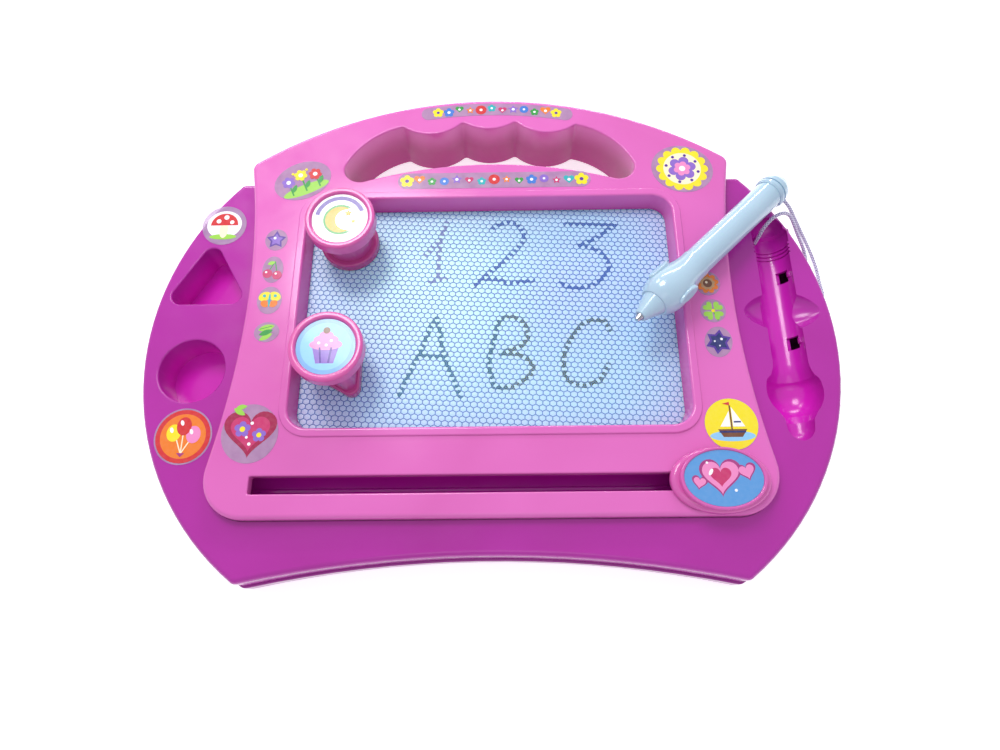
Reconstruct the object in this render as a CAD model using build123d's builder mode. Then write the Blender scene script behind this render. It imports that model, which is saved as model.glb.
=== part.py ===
from build123d import *
from math import atan2, cos, degrees, pi, radians, sin, sqrt, tan
import os

# Magnetic drawing board: a wide tray with a lower shell, a raised frame with a carrying handle, a honeycomb
# screen, an eraser bar that slides behind it, two stamps and a tethered pen.
# Origin at the middle of the footprint on the table, +X to the right, +Y away from the user, +Z up.

# Case outline, seen from above
lobe_width = 57.7
side_middle_y = -17.4
front_corner_inset = 65.95
front_corner_drop = 32.44
front_hollow = 13.0
front_corner_fillet = 5.0
lobe_back_reach = 7.02
lobe_back_rise = 11.5
lobe_corner_fillet = 5.0
arch_radius = 249.5
arch_inset = 3.0
arch_side_reach = 2.7

# Heights above the table
shell_height = 12.0
tray_top = 29.0
frame_seat = 28.0
frame_top = 35.0
screen_top = 24.0

# Walls, edges and clearances
wall = 2.0
plate = 2.4
tray_edge_fillet = 3.0
frame_edge_fillet = 2.6
rim_fillet = 0.9
seat_gap = 0.4
running_gap = 0.4
screw_gap = 0.05
overrun = 1.0
fit_gap = 0.15
shell_inset = 1.4
rim_depth = 3.0
shell_edge_fillet = 1.2
pocket_edge_fillet = 0.9

# Frame outline
frame_side_width = 29.6
frame_corner_flare = 7.9
frame_waist_y = 13.2
frame_side_radius = 490.0
frame_front_land = 17.4
frame_front_fillet = 22.3
frame_back_fillet = 6.0

# Window with its bead, and the layered screen behind it
window_half_width = 107.7
window_back_y = 73.4
window_front_y = -67.4
window_corner = 11.5
window_draft = 1.9
bead_width = 4.6
bead_height = 1.0
bead_round = 0.8
bead_inner_round = 1.4
panel_lap = 5.6
sheet_thickness = 0.6
core_thickness = 2.0
core_seal_width = 3.0
panel_corner = 4.0
retainer_thickness = 2.4
retainer_gap = 0.8
retainer_front_lap = 12.0

# Handle opening, as shares of its half length and of its height from tip to finger peak
handle_half_length = 88.6
handle_land = 12.9
handle_height = 43.2
grip_width = 17.0
handle_tip_share = (0.86, 0.0)
handle_end_share = (0.965, 0.065)
handle_side_share = (1.0, 0.22)
handle_shoulder_share = (0.855, 0.655)
handle_peak_share = ((0.605, 0.93), (0.186, 1.0))
handle_valley_share = ((0.405, 0.795), (0.0, 0.875))
handle_near_share = (0.0, 0.262)
handle_peak_fillet = 2.6
handle_tip_fillet = 3.0
handle_end_fillet = 8.0
handle_edge_fillet = 0.9
handle_wall_bottom = 1.0
collar_width = 1.6

# Eraser slot, knob and carriage
slot_drop = 29.6
slot_end_land = 13.5
slot_width = 9.2
slot_corner = 1.0
slot_rim_depth = 3.0
slot_rim_width = 1.5
stem_length = 13.8
stem_width = 8.4
knob_length = 51.0
knob_width = 34.0
flange_thickness = 3.8
flange_round = 2.6
crown_length = 43.0
crown_width = 31.4
crown_height = 3.9
knob_rim_round = 0.6
knob_label_length = 39.6
knob_label_width = 28.6
knob_lift = 0.5
label_recess = 0.7
label_thickness = 0.15

# Well in the tray for the screen and the eraser
well_side_land = 6.9
well_front_reach = 12.0
well_back_reach = 6.6
well_floor = 12.5
well_corner = 6.0
rail_width = 3.0
rail_height = 2.4
rail_round = 1.0
rail_end_gap = 2.0
back_rail_reach = 3.2
carriage_lift = 0.4
shoe_length = 20.0
shoe_width = 19.0
shoe_height = 6.4
end_shoe_height = 4.4
end_shoe_width = 5.6
arm_width = 12.0
arm_thickness = 2.1
strip_width = 8.0
strip_thickness = 2.8
strip_lip = 1.0
strip_front_gap = 1.4
strip_back_gap = 0.4
arm_end_gap = 0.9

# Stamp pockets
pocket_floor = 9.0
round_pocket_inset = 29.8
round_pocket_y = -32.0
round_pocket_radius = 18.4
triangle_pocket_inset = 31.4
triangle_pocket_y = 22.8
triangle_pocket_inradius = 14.0
triangle_pocket_round = 5.6
triangle_pocket_turn = -30.0

# Pen tray: half widths of the trough along its axis, from the tip end
trough_inset = 30.0
trough_tip_y = -75.8
trough_axis_z = 26.6
trough_tip_radius = 5.4
trough_cone_radius = 7.8
trough_neck_radius = 8.2
trough_step_radius = 10.9
trough_belly_radius = 14.7
trough_crest_radius = 15.1
trough_shoulder_radius = 14.2
trough_shoulder_end_radius = 12.2
trough_flare_radius = 10.7
trough_barrel_radius = 10.0
trough_head_radius = 10.8
trough_dome_radius = 8.8
trough_crown_radius = 6.9
trough_tip_share = 0.0205
trough_cone_share = 0.064
trough_neck_share = 0.092
trough_step_share = 0.124
trough_belly_share = (0.17, 0.236)
trough_shoulder_share = (0.257, 0.272)
trough_flare_share = 0.298
trough_barrel_share = (0.342, 0.877)
trough_head_share = (0.88, 0.934)
trough_dome_share = (0.943, 0.98)
trough_length = 137.0
ring_start_share = 0.828
ring_pitch = 2.4
ring_width = 0.9
ring_depth = 0.8
ring_count = 3
scoop_share = 0.551
scoop_half_length = 21.4
scoop_half_width = 11.9
scoop_depth = 8.5
clip_shares = (0.738, 0.4335)
clip_length = 7.6
clip_window_drop = 6.6
clip_window_height = 6.2
clip_window_reach = 4.8
clip_lug = 1.2
clip_lug_drop = 2.2
clip_lug_height = 1.8
clip_lug_length = 3.0

# Stamps
stamp_height = 31.0
stamp_disc_radius = 19.6
stamp_disc_thickness = 7.6
stamp_rim_width = 3.9
disc_round = 1.5
stamp_label_depth = 1.7
stamp_waist_radius = 13.8
round_stamp_inset = 24.7
round_stamp_back_gap = 24.7
round_foot_radius = 17.0
foot_height = 5.2
foot_round = 1.4
triangle_stamp_inset = 23.1
triangle_stamp_front_gap = 39.0
triangle_foot_inradius = 13.0
triangle_foot_round = 5.0
triangle_stamp_turn = 60.0
triangle_stem_taper = 4.0
stamp_bore_radius = 8.5
stamp_magnet_thickness = 2.0
triangle_bore_radius = 5.0
stamp_magnet_gap = 0.15
round_magnet_radius = 14.0
triangle_magnet_inradius = 9.6
triangle_magnet_round = 3.0

# Pen, along its axis from the tip
pen_length = 130.7
pen_tip_inset = 29.5
pen_tip_front_gap = 53.8
pen_tip_rise = 24.35
pen_heading = 44.28
pen_pitch = -3.52
pen_skin = 1.7
tip_ball_flat = 0.3
tip_ball_radius = 1.3
tip_pin_radius = 2.1
tip_pin_length = 3.6
tip_magnet_length = 9.0
nose_start_radius = 3.3
nose_end_radius = 7.5
nose_end = 15.0
grip_start_radius = 8.3
grip_belly_radius = 11.8
grip_belly = 23.5
grip_shoulder_radius = 10.3
grip_shoulder = 37.0
grip_end_radius = 8.7
grip_end = 50.0
barrel_radius = 8.25
spigot_radius = 6.2
barrel_bore_radius = 4.8
cap_length = 13.2
cap_ring_radius = 9.3
cap_ring_width = 2.6
cap_groove = 0.7
cap_groove_width = 1.1
cap_crown_length = 6.1
cap_shoulder_radius = 8.6
cap_bore_gap = 4.7
cap_dome_radius = 4.9
cap_dome_height = 1.6
spigot_length = 6.0
bump_length = 14.5
bump_width = 6.0
bump_rise = 1.2
bump_round = 0.9
bump_at = 29.0
bump_angles = (-62.0, 62.0, 180.0)

# Tether cord: its route from the pen's cap to the hole in the head of the pen tray
cord_radius = 1.1
cord_hole_gap = 0.25
cord_exit_gap = 5.7
cord_drop_angle = 25.0
cord_start_radius = 3.0
cord_clear_radius = 9.8
knot_radius = 3.2
anchor_side_step = 4.0
anchor_end_gap = 10.2
anchor_pad_radius = 4.0
anchor_pad_bottom = 13.2
anchor_bend_z = 21.0
cord_points = (
    (177.4, 65.2, 33.4),
    (182.0, 63.4, 27.0),
    (187.4, 60.8, 19.6),
    (192.8, 57.2, 12.8),
    (198.2, 52.0, 6.6),
    (202.0, 45.4, 2.6),
    (203.6, 37.6, 1.1),
    (203.6, 29.6, 1.1),
    (204.8, 22.2, 1.1),
    (198.8, 18.2, 1.1),
    (192.7, 22.0, 1.1),
    (192.3, 29.6, 1.1),
    (194.0, 36.6, 2.6),
    (195.2, 43.0, 6.6),
    (192.2, 49.4, 12.0),
    (187.0, 54.2, 18.6),
    (182.4, 58.6, 25.2),
    (178.0, 61.4, 31.2),
    (172.4, 60.6, 34.6),
    (166.4, 57.8, 33.8),
    (162.4, 54.2, 28.4),
)
cord_share = 0.45

# Labels, flat on the frame and on the tray: distance in from the side and y, length and width, and turn
strip_label_length = 116.0
strip_label_width = 11.0
strip_label_x = 3.0
strip_label_land = 12.4
title_label_inset = 7.9
title_label_angles = (78.6, 99.0)
title_label_width = 9.0
left_label_places = ((24.6, 87.4), (12.9, 46.5), (12.9, 27.0), (13.1, 7.5), (13.7, -12.0), (11.3, -69.8))
left_label_sizes = ((35.0, 26.0), (13.0, 14.0), (12.0, 17.0), (14.0, 17.0), (14.0, 12.0), (30.0, 32.0))
left_label_turns = (24.0, 0.0, 0.0, 0.0, 8.0, 0.0)
right_label_places = ((20.9, 92.0), (14.3, 14.6), (13.1, -2.4), (12.3, -21.0), (11.1, -67.4))
right_label_sizes = ((37.0, 33.0), (14.0, 15.0), (14.0, 14.0), (15.0, 18.0), (28.0, 28.0))
right_label_turns = (-14.0, 0.0, 0.0, -10.0, 0.0)
tray_label_places = ((35.8, 60.6), (30.9, -69.4))
tray_label_radii = (13.2, 15.5)

# Screws
screw_radius = 1.4
screw_head_radius = 2.9
screw_head_height = 1.9
case_screw_length = 14.0
case_boss_radius = 4.2
case_cup_radius = 5.4
case_cup_height = 8.0
case_seat = 2.0
case_hole_spare = 0.5
lobe_screw_insets = ((43.0, 73.0), (35.0, -92.0), (120.0, -123.5))
grip_screw_offset = (9.4, 26.7)
frame_screw_length = 5.6
frame_boss_radius = 3.4
frame_screw_insets = ((6.7, -92.0), (10.2, 86.5))
frame_grip_screw_offset = (24.4, 12.2)
retainer_screw_length = 8.0
retainer_boss_radius = 2.9
retainer_screw_insets = ((4.4, -55.0), (4.4, 3.0), (4.4, 62.0), (80.4, -75.6))
knob_screw_length = 11.0
knob_screw_seat = 2.0

# Values that follow from the sizes above
frame_waist_x = window_half_width + frame_side_width
frame_corner_x = frame_waist_x + frame_corner_flare
half_width = frame_waist_x + lobe_width
slot_y = window_front_y - slot_drop
slot_half_length = frame_waist_x - slot_end_land
frame_front_y = slot_y - frame_front_land
front_corner_x = half_width - front_corner_inset
front_corner_y = frame_front_y - front_corner_drop
well_half_width = frame_waist_x - well_side_land
well_front_y = slot_y - well_front_reach
well_back_y = window_back_y + well_back_reach
back_rail_y = window_back_y + back_rail_reach
lobe_x = frame_corner_x + lobe_back_reach
lobe_back_y = well_back_y + lobe_back_rise
handle_tip_y = window_back_y + handle_land
arch_top_y = handle_tip_y + handle_height + grip_width
arch_centre_y = arch_top_y - arch_radius
arch_side_x = frame_waist_x + arch_side_reach
retainer_front_y = window_front_y - retainer_front_lap
round_pocket_at = (round_pocket_inset - half_width, round_pocket_y)
triangle_pocket_at = (triangle_pocket_inset - half_width, triangle_pocket_y)
round_stamp_at = (round_stamp_inset - window_half_width, window_back_y - round_stamp_back_gap)
triangle_stamp_at = (triangle_stamp_inset - window_half_width, window_front_y + triangle_stamp_front_gap)
trough_x = half_width - trough_inset
ring_start_y = trough_tip_y + ring_start_share * trough_length
scoop_y = trough_tip_y + scoop_share * trough_length
clip_at_y = [trough_tip_y + share * trough_length for share in clip_shares]
anchor_at = (trough_x - anchor_side_step, trough_tip_y + trough_length - anchor_end_gap)
pen_tip_at = (
    window_half_width - pen_tip_inset,
    window_front_y + pen_tip_front_gap,
    screen_top + pen_tip_rise,
)
cap_start = pen_length - cap_length
cap_shoulder = pen_length - cap_crown_length
cap_bore_end = pen_length - cap_bore_gap
cord_exit = pen_length - cord_exit_gap
strip_label_at = (strip_label_x, window_back_y + strip_label_land)
title_label_radius = arch_radius - title_label_inset
case_screws_at = [(half_width - inset, y) for inset, y in lobe_screw_insets]
case_screws_at.append((handle_half_length + grip_screw_offset[0], handle_tip_y + grip_screw_offset[1]))
frame_screws_at = [(frame_corner_x - inset, y) for inset, y in frame_screw_insets]
frame_screws_at.append(
    (handle_half_length + frame_grip_screw_offset[0], handle_tip_y + frame_grip_screw_offset[1])
)
retainer_screws_at = [(well_half_width - inset, y) for inset, y in retainer_screw_insets]
cavity_top = tray_top - plate
frame_plate_bottom = frame_top - plate
window_middle_y = (window_back_y + window_front_y) / 2
window_width = 2 * window_half_width
window_length = window_back_y - window_front_y
window_depth = frame_top + bead_height - screen_top
panel_width = window_width - 2 * window_draft + 2 * panel_lap
panel_length = window_length - 2 * window_draft + 2 * panel_lap
core_top = screen_top - sheet_thickness
core_bottom = core_top - core_thickness
panel_bottom = core_bottom - sheet_thickness
retainer_bottom = panel_bottom - retainer_thickness
well_middle_y = (well_back_y + well_front_y) / 2
well_length = well_back_y - well_front_y
well_bottom = well_floor - wall
knob_bottom = frame_top + knob_lift
knob_rest_x = slot_half_length - stem_length / 2 - running_gap
crown_top = knob_bottom + flange_thickness + crown_height
carriage_bottom = well_floor + carriage_lift
shoe_top = carriage_bottom + shoe_height
arm_top = carriage_bottom + arm_thickness
arm_end_y = well_back_y - arm_end_gap
groove_width = rail_width + 2 * running_gap
groove_height = rail_height + running_gap - carriage_lift
disc_bottom = stamp_height - stamp_disc_thickness
label_radius = stamp_disc_radius - stamp_rim_width
label_floor = stamp_height - stamp_label_depth


def mirrored(points):
    """Each point and its mirror image across the YZ plane."""
    return [(side * x, y) for x, y in points for side in (1, -1)]


def raised(points, height):
    """Each point of a plan, at a height."""
    return [(x, y, height) for x, y in points]


def resized(sketch, amount):
    """A flat outline grown or shrunk by an even amount."""
    with BuildSketch() as result:
        add(sketch)
        offset(amount=amount)
    return result.sketch


def handle_point(share, side=1):
    """A point of the handle opening from its shares."""
    return (side * share[0] * handle_half_length, handle_tip_y + share[1] * handle_height)


def edges_at(part, height, places, reach):
    """The edges of a part that lie flat at a height, near any of some places."""
    flat = part.edges().filter_by_position(Axis.Z, height - seat_gap / 2, height + seat_gap / 2)
    return [e for e in flat if any((e.center() - Vector(x, y, height)).length < reach for x, y in places)]


# Outlines seen from above
with BuildSketch() as lobes_outline:
    with BuildLine():
        ThreePointArc(
            (-front_corner_x, front_corner_y),
            (0, front_corner_y + front_hollow),
            (front_corner_x, front_corner_y),
        )
        ThreePointArc((front_corner_x, front_corner_y), (half_width, side_middle_y), (lobe_x, lobe_back_y))
        Line((lobe_x, lobe_back_y), (-lobe_x, lobe_back_y))
        ThreePointArc((-lobe_x, lobe_back_y), (-half_width, side_middle_y), (-front_corner_x, front_corner_y))
    make_face()
    fillet(lobes_outline.vertices().group_by(Axis.Y)[0], front_corner_fillet)
    fillet(lobes_outline.vertices().group_by(Axis.Y)[-1], lobe_corner_fillet)

inner_arch_radius = arch_radius - arch_inset
arch_side_y = arch_centre_y + sqrt(inner_arch_radius**2 - arch_side_x**2)
with BuildSketch() as arch_outline:
    with BuildLine():
        ThreePointArc((-arch_side_x, arch_side_y), (0, arch_top_y - arch_inset), (arch_side_x, arch_side_y))
        Polyline(
            (arch_side_x, arch_side_y),
            (arch_side_x, well_back_y),
            (-arch_side_x, well_back_y),
            (-arch_side_x, arch_side_y),
        )
    make_face()

with BuildSketch() as shell_outline:
    add(lobes_outline.sketch)
    add(arch_outline.sketch)

tray_lobes = resized(lobes_outline.sketch, -shell_inset)
with BuildSketch() as tray_outline:
    add(tray_lobes)
    add(arch_outline.sketch)

frame_side_centre_x = frame_waist_x + frame_side_radius
frame_corner_y = arch_centre_y + sqrt(arch_radius**2 - frame_corner_x**2)
frame_front_x = frame_side_centre_x - sqrt(frame_side_radius**2 - (frame_front_y - frame_waist_y) ** 2)
with BuildSketch() as frame_outline:
    with BuildLine():
        ThreePointArc((-frame_corner_x, frame_corner_y), (0, arch_top_y), (frame_corner_x, frame_corner_y))
        ThreePointArc(
            (frame_corner_x, frame_corner_y), (frame_waist_x, frame_waist_y), (frame_front_x, frame_front_y)
        )
        Line((frame_front_x, frame_front_y), (-frame_front_x, frame_front_y))
        ThreePointArc(
            (-frame_front_x, frame_front_y),
            (-frame_waist_x, frame_waist_y),
            (-frame_corner_x, frame_corner_y),
        )
    make_face()
    fillet(frame_outline.vertices().group_by(Axis.Y)[0], frame_front_fillet)
    fillet(frame_outline.vertices().group_by(Axis.Y)[-1], frame_back_fillet)

with BuildSketch() as handle_outline:
    with BuildLine():
        ThreePointArc(
            handle_point(handle_tip_share, -1),
            handle_point(handle_near_share),
            handle_point(handle_tip_share),
        )
        for side in (1, -1):
            ThreePointArc(
                handle_point(handle_tip_share, side),
                handle_point(handle_end_share, side),
                handle_point(handle_side_share, side),
            )
            ThreePointArc(
                handle_point(handle_side_share, side),
                handle_point(handle_shoulder_share, side),
                handle_point(handle_peak_share[0], side),
            )
            ThreePointArc(
                handle_point(handle_peak_share[0], side),
                handle_point(handle_valley_share[0], side),
                handle_point(handle_peak_share[1], side),
            )
        ThreePointArc(
            handle_point(handle_peak_share[1], -1),
            handle_point(handle_valley_share[1]),
            handle_point(handle_peak_share[1]),
        )
    make_face()
    peaks = [
        v
        for v in handle_outline.vertices()
        for share in handle_peak_share
        if abs(abs(v.X) - share[0] * handle_half_length) < seat_gap
    ]
    fillet(peaks, handle_peak_fillet)
    fillet(handle_outline.vertices().group_by(Axis.Y)[0], handle_tip_fillet)
    ends = [v for v in handle_outline.vertices() if abs(abs(v.X) - handle_half_length) < seat_gap]
    fillet(ends, handle_end_fillet)

collar_outline = resized(handle_outline.sketch, collar_width)
collar_hole = resized(collar_outline, seat_gap)

with BuildSketch() as triangle_pocket_outline:
    with Locations(triangle_pocket_at):
        RegularPolygon(triangle_pocket_inradius, 3, major_radius=False, rotation=triangle_pocket_turn)
    fillet(triangle_pocket_outline.vertices(), triangle_pocket_round)

with BuildSketch() as well_outline:
    with Locations((0, well_middle_y)):
        RectangleRounded(2 * well_half_width, well_length, well_corner)


# Lower shell: floor, wall, the ledge that the tray stands on and the cups of the case screws
with BuildPart() as lower_shell:
    with BuildSketch():
        add(shell_outline.sketch)
    extrude(amount=shell_height)
    fillet(lower_shell.faces().sort_by(Axis.Z)[0].edges(), shell_edge_fillet)
    fillet(lower_shell.faces().sort_by(Axis.Z)[-1].edges(), rim_fillet)
    with BuildSketch(Plane.XY.offset(wall)):
        add(resized(shell_outline.sketch, -wall))
    extrude(amount=shell_height - rim_depth - wall, mode=Mode.SUBTRACT)
    with BuildSketch(Plane.XY.offset(shell_height - rim_depth)):
        add(resized(shell_outline.sketch, -wall - shell_inset))
    extrude(amount=rim_depth, mode=Mode.SUBTRACT)
    with BuildSketch():
        add(collar_hole)
    extrude(amount=wall, mode=Mode.SUBTRACT)
    with BuildSketch():
        with Locations(*mirrored(case_screws_at)):
            Circle(case_cup_radius)
    extrude(amount=case_cup_height)
    with BuildSketch():
        with Locations(*mirrored(case_screws_at)):
            Circle(screw_head_radius + seat_gap)
    extrude(amount=case_cup_height - case_seat, mode=Mode.SUBTRACT)
    with BuildSketch():
        with Locations(*mirrored(case_screws_at)):
            Circle(screw_radius + screw_gap)
    extrude(amount=case_cup_height, mode=Mode.SUBTRACT)


# Pen trough in the tray: a turned hollow along Y, with a cross scoop for the fingers
def trough_point(radius, share, extra=0.0, out=0.0, along=0.0):
    """A point of the trough's half outline, moved outwards and along by shares of an even amount."""
    return (trough_x + radius + out * extra, trough_tip_y + share * trough_length + along * extra)


def trough_profile(extra):
    """Half outline of the trough, grown by an even amount: round tip, belly, flared barrel and domed head."""
    tip = trough_point(0, 0, extra, 0, -1)
    cone = trough_point(trough_cone_radius, trough_cone_share, extra, 1)
    step = trough_point(trough_step_radius, trough_step_share, extra, 1, -1)
    crest = trough_point(trough_crest_radius, trough_belly_share[1], extra, 1)
    shoulder = trough_point(trough_shoulder_end_radius, trough_shoulder_share[1], extra, 1, 1)
    barrel = trough_point(trough_barrel_radius, trough_barrel_share[0], extra, 1)
    dome = trough_point(trough_dome_radius, trough_dome_share[0], extra, 1, 1)
    end = trough_point(0, 1, extra, 0, 1)
    with BuildLine() as outline:
        ThreePointArc(tip, trough_point(trough_tip_radius, trough_tip_share, extra, 0.7, -0.7), cone)
        Polyline(cone, trough_point(trough_neck_radius, trough_neck_share, extra, 1, -1), step)
        ThreePointArc(step, trough_point(trough_belly_radius, trough_belly_share[0], extra, 0.9, -0.4), crest)
        ThreePointArc(
            crest, trough_point(trough_shoulder_radius, trough_shoulder_share[0], extra, 0.8, 0.6), shoulder
        )
        ThreePointArc(shoulder, trough_point(trough_flare_radius, trough_flare_share, extra, 1, 0.5), barrel)
        Polyline(
            barrel,
            trough_point(trough_barrel_radius, trough_barrel_share[1], extra, 1, -1),
            trough_point(trough_head_radius, trough_head_share[0], extra, 1, -1),
            trough_point(trough_head_radius, trough_head_share[1], extra, 1, 1),
            dome,
        )
        ThreePointArc(dome, trough_point(trough_crown_radius, trough_dome_share[1], extra, 0.7, 0.7), end)
        Line(end, tip)
    return outline.line


trough_axis = Axis((trough_x, 0, trough_axis_z), (0, 1, 0))
trough_plane = Plane(origin=(0, 0, trough_axis_z), x_dir=(1, 0, 0), z_dir=(0, 0, 1))
scoop_rise = (scoop_half_width**2 - scoop_depth**2) / (2 * scoop_depth)
scoop_axis_z = tray_top + scoop_rise
scoop_axis = Axis((trough_x, scoop_y, scoop_axis_z), (1, 0, 0))
scoop_plane = Plane(origin=(trough_x, scoop_y, scoop_axis_z), x_dir=(1, 0, 0), z_dir=(0, -1, 0))


def trough_turning(extra):
    """The trough and its cross scoop as one turned body, grown by an even amount."""
    with BuildPart() as turned:
        with BuildSketch(trough_plane):
            with BuildLine():
                add(trough_profile(extra))
            make_face()
        revolve(axis=trough_axis)
        with BuildSketch(scoop_plane):
            with BuildLine():
                ThreePointArc(
                    (-scoop_half_length - extra, -scoop_rise),
                    (0, -scoop_rise - scoop_depth - extra),
                    (scoop_half_length + extra, -scoop_rise),
                )
                Polyline(
                    (scoop_half_length + extra, -scoop_rise),
                    (scoop_half_length + extra, 0),
                    (-scoop_half_length - extra, 0),
                    (-scoop_half_length - extra, -scoop_rise),
                )
            make_face()
        revolve(axis=scoop_axis)
    return turned.part


with BuildPart() as trough_skin:
    add(trough_turning(wall))
    split(bisect_by=Plane.XY.offset(cavity_top), keep=Keep.BOTTOM)

with BuildPart() as trough_hollow:
    add(trough_turning(0))
    for step in range(ring_count):
        ring_y = ring_start_y + step * ring_pitch
        with BuildSketch(Plane(origin=(trough_x, ring_y, trough_axis_z), z_dir=(0, 1, 0))):
            Circle(trough_barrel_radius + ring_depth)
        extrude(amount=ring_width)


# Tray: outer wall and top, well for the screen, stamp pockets, pen trough and screw bosses
clip_wall_x = sqrt(trough_barrel_radius**2 - clip_lug_drop**2)
with BuildPart() as base_tray:
    with BuildSketch(Plane.XY.offset(shell_height)):
        add(tray_lobes)
    extrude(amount=tray_top - shell_height)
    fillet(base_tray.faces().sort_by(Axis.Z)[-1].edges(), tray_edge_fillet)
    with BuildSketch(Plane.XY.offset(shell_height)):
        add(arch_outline.sketch)
    extrude(amount=tray_top - shell_height)
    with BuildSketch(Plane.XY.offset(shell_height)):
        add(resized(tray_outline.sketch, -wall))
    extrude(amount=cavity_top - shell_height, mode=Mode.SUBTRACT)
    with BuildSketch(Plane.XY.offset(well_bottom)):
        add(resized(well_outline.sketch, wall))
    extrude(amount=cavity_top - well_bottom)
    with BuildSketch(Plane.XY.offset(pocket_floor - wall)):
        with Locations(round_pocket_at):
            Circle(round_pocket_radius + wall)
        add(resized(triangle_pocket_outline.sketch, wall))
    extrude(amount=cavity_top - pocket_floor + wall)
    add(trough_skin.part)
    with BuildSketch(Plane.XY.offset(anchor_pad_bottom)):
        with Locations(anchor_at):
            Circle(anchor_pad_radius)
    extrude(amount=trough_axis_z - trough_head_radius - anchor_pad_bottom + wall)
    with BuildSketch(Plane.XY.offset(case_cup_height)):
        with Locations(*mirrored(case_screws_at)):
            Circle(case_boss_radius)
    extrude(amount=cavity_top - case_cup_height)
    with BuildSketch(Plane.XY.offset(well_floor)):
        add(well_outline.sketch)
    extrude(amount=tray_top - well_floor, mode=Mode.SUBTRACT)
    with BuildSketch(Plane.XY.offset(pocket_floor)):
        with Locations(round_pocket_at):
            Circle(round_pocket_radius)
        add(triangle_pocket_outline.sketch)
    extrude(amount=tray_top - pocket_floor, mode=Mode.SUBTRACT)
    add(trough_hollow.part, mode=Mode.SUBTRACT)
    pockets = [round_pocket_at, triangle_pocket_at]
    fillet(edges_at(base_tray, tray_top, pockets, scoop_half_length), pocket_edge_fillet)
    with BuildSketch(Plane.XY.offset(frame_seat)):
        add(resized(frame_outline.sketch, seat_gap))
        add(resized(frame_outline.sketch, -wall - seat_gap), mode=Mode.SUBTRACT)
    extrude(amount=tray_top - frame_seat, mode=Mode.SUBTRACT)
    with BuildSketch(Plane.XY.offset(shell_height)):
        add(collar_hole)
    extrude(amount=tray_top - shell_height, mode=Mode.SUBTRACT)
    with BuildSketch(Plane.XY.offset(case_cup_height)):
        with Locations(*mirrored(case_screws_at)):
            Circle(screw_radius + screw_gap)
    extrude(amount=case_screw_length - case_seat + case_hole_spare, mode=Mode.SUBTRACT)
    with BuildSketch(Plane.XY.offset(cavity_top)):
        with Locations(*mirrored(frame_screws_at)):
            Circle(screw_radius + screw_gap)
    extrude(amount=plate, mode=Mode.SUBTRACT)
    with BuildSketch(Plane.XY.offset(anchor_pad_bottom)):
        with Locations(anchor_at):
            Circle(cord_radius + cord_hole_gap)
    extrude(amount=trough_axis_z - anchor_pad_bottom, mode=Mode.SUBTRACT)
    with BuildSketch(Plane.XY.offset(well_floor)):
        for rail_y in (slot_y, back_rail_y):
            with Locations((0, rail_y)):
                Rectangle(2 * (well_half_width - rail_end_gap), rail_width)
    extrude(amount=rail_height)
    rail_tops = base_tray.edges().filter_by(Axis.X).filter_by_position(
        Axis.Z, well_floor + rail_height - seat_gap, well_floor + rail_height + seat_gap
    )
    fillet(rail_tops, rail_round)
    for clip_y in clip_at_y:
        clip_plane = Plane(origin=(trough_x, clip_y, trough_axis_z), z_dir=(1, 0, 0), x_dir=(0, 1, 0))
        with BuildSketch(clip_plane.offset(-clip_wall_x - overrun)):
            with Locations((0, -clip_lug_drop)):
                Rectangle(clip_lug_length, clip_lug_height)
        extrude(amount=overrun + clip_lug)
        with BuildSketch(clip_plane.offset(clip_wall_x + overrun)):
            with Locations((0, -clip_lug_drop)):
                Rectangle(clip_lug_length, clip_lug_height)
        extrude(amount=-overrun - clip_lug)
        with BuildSketch(clip_plane.offset(clip_window_reach)):
            with Locations((0, -clip_window_drop)):
                Rectangle(clip_length, clip_window_height)
        extrude(amount=trough_barrel_radius + wall + overrun - clip_window_reach, mode=Mode.SUBTRACT)


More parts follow.
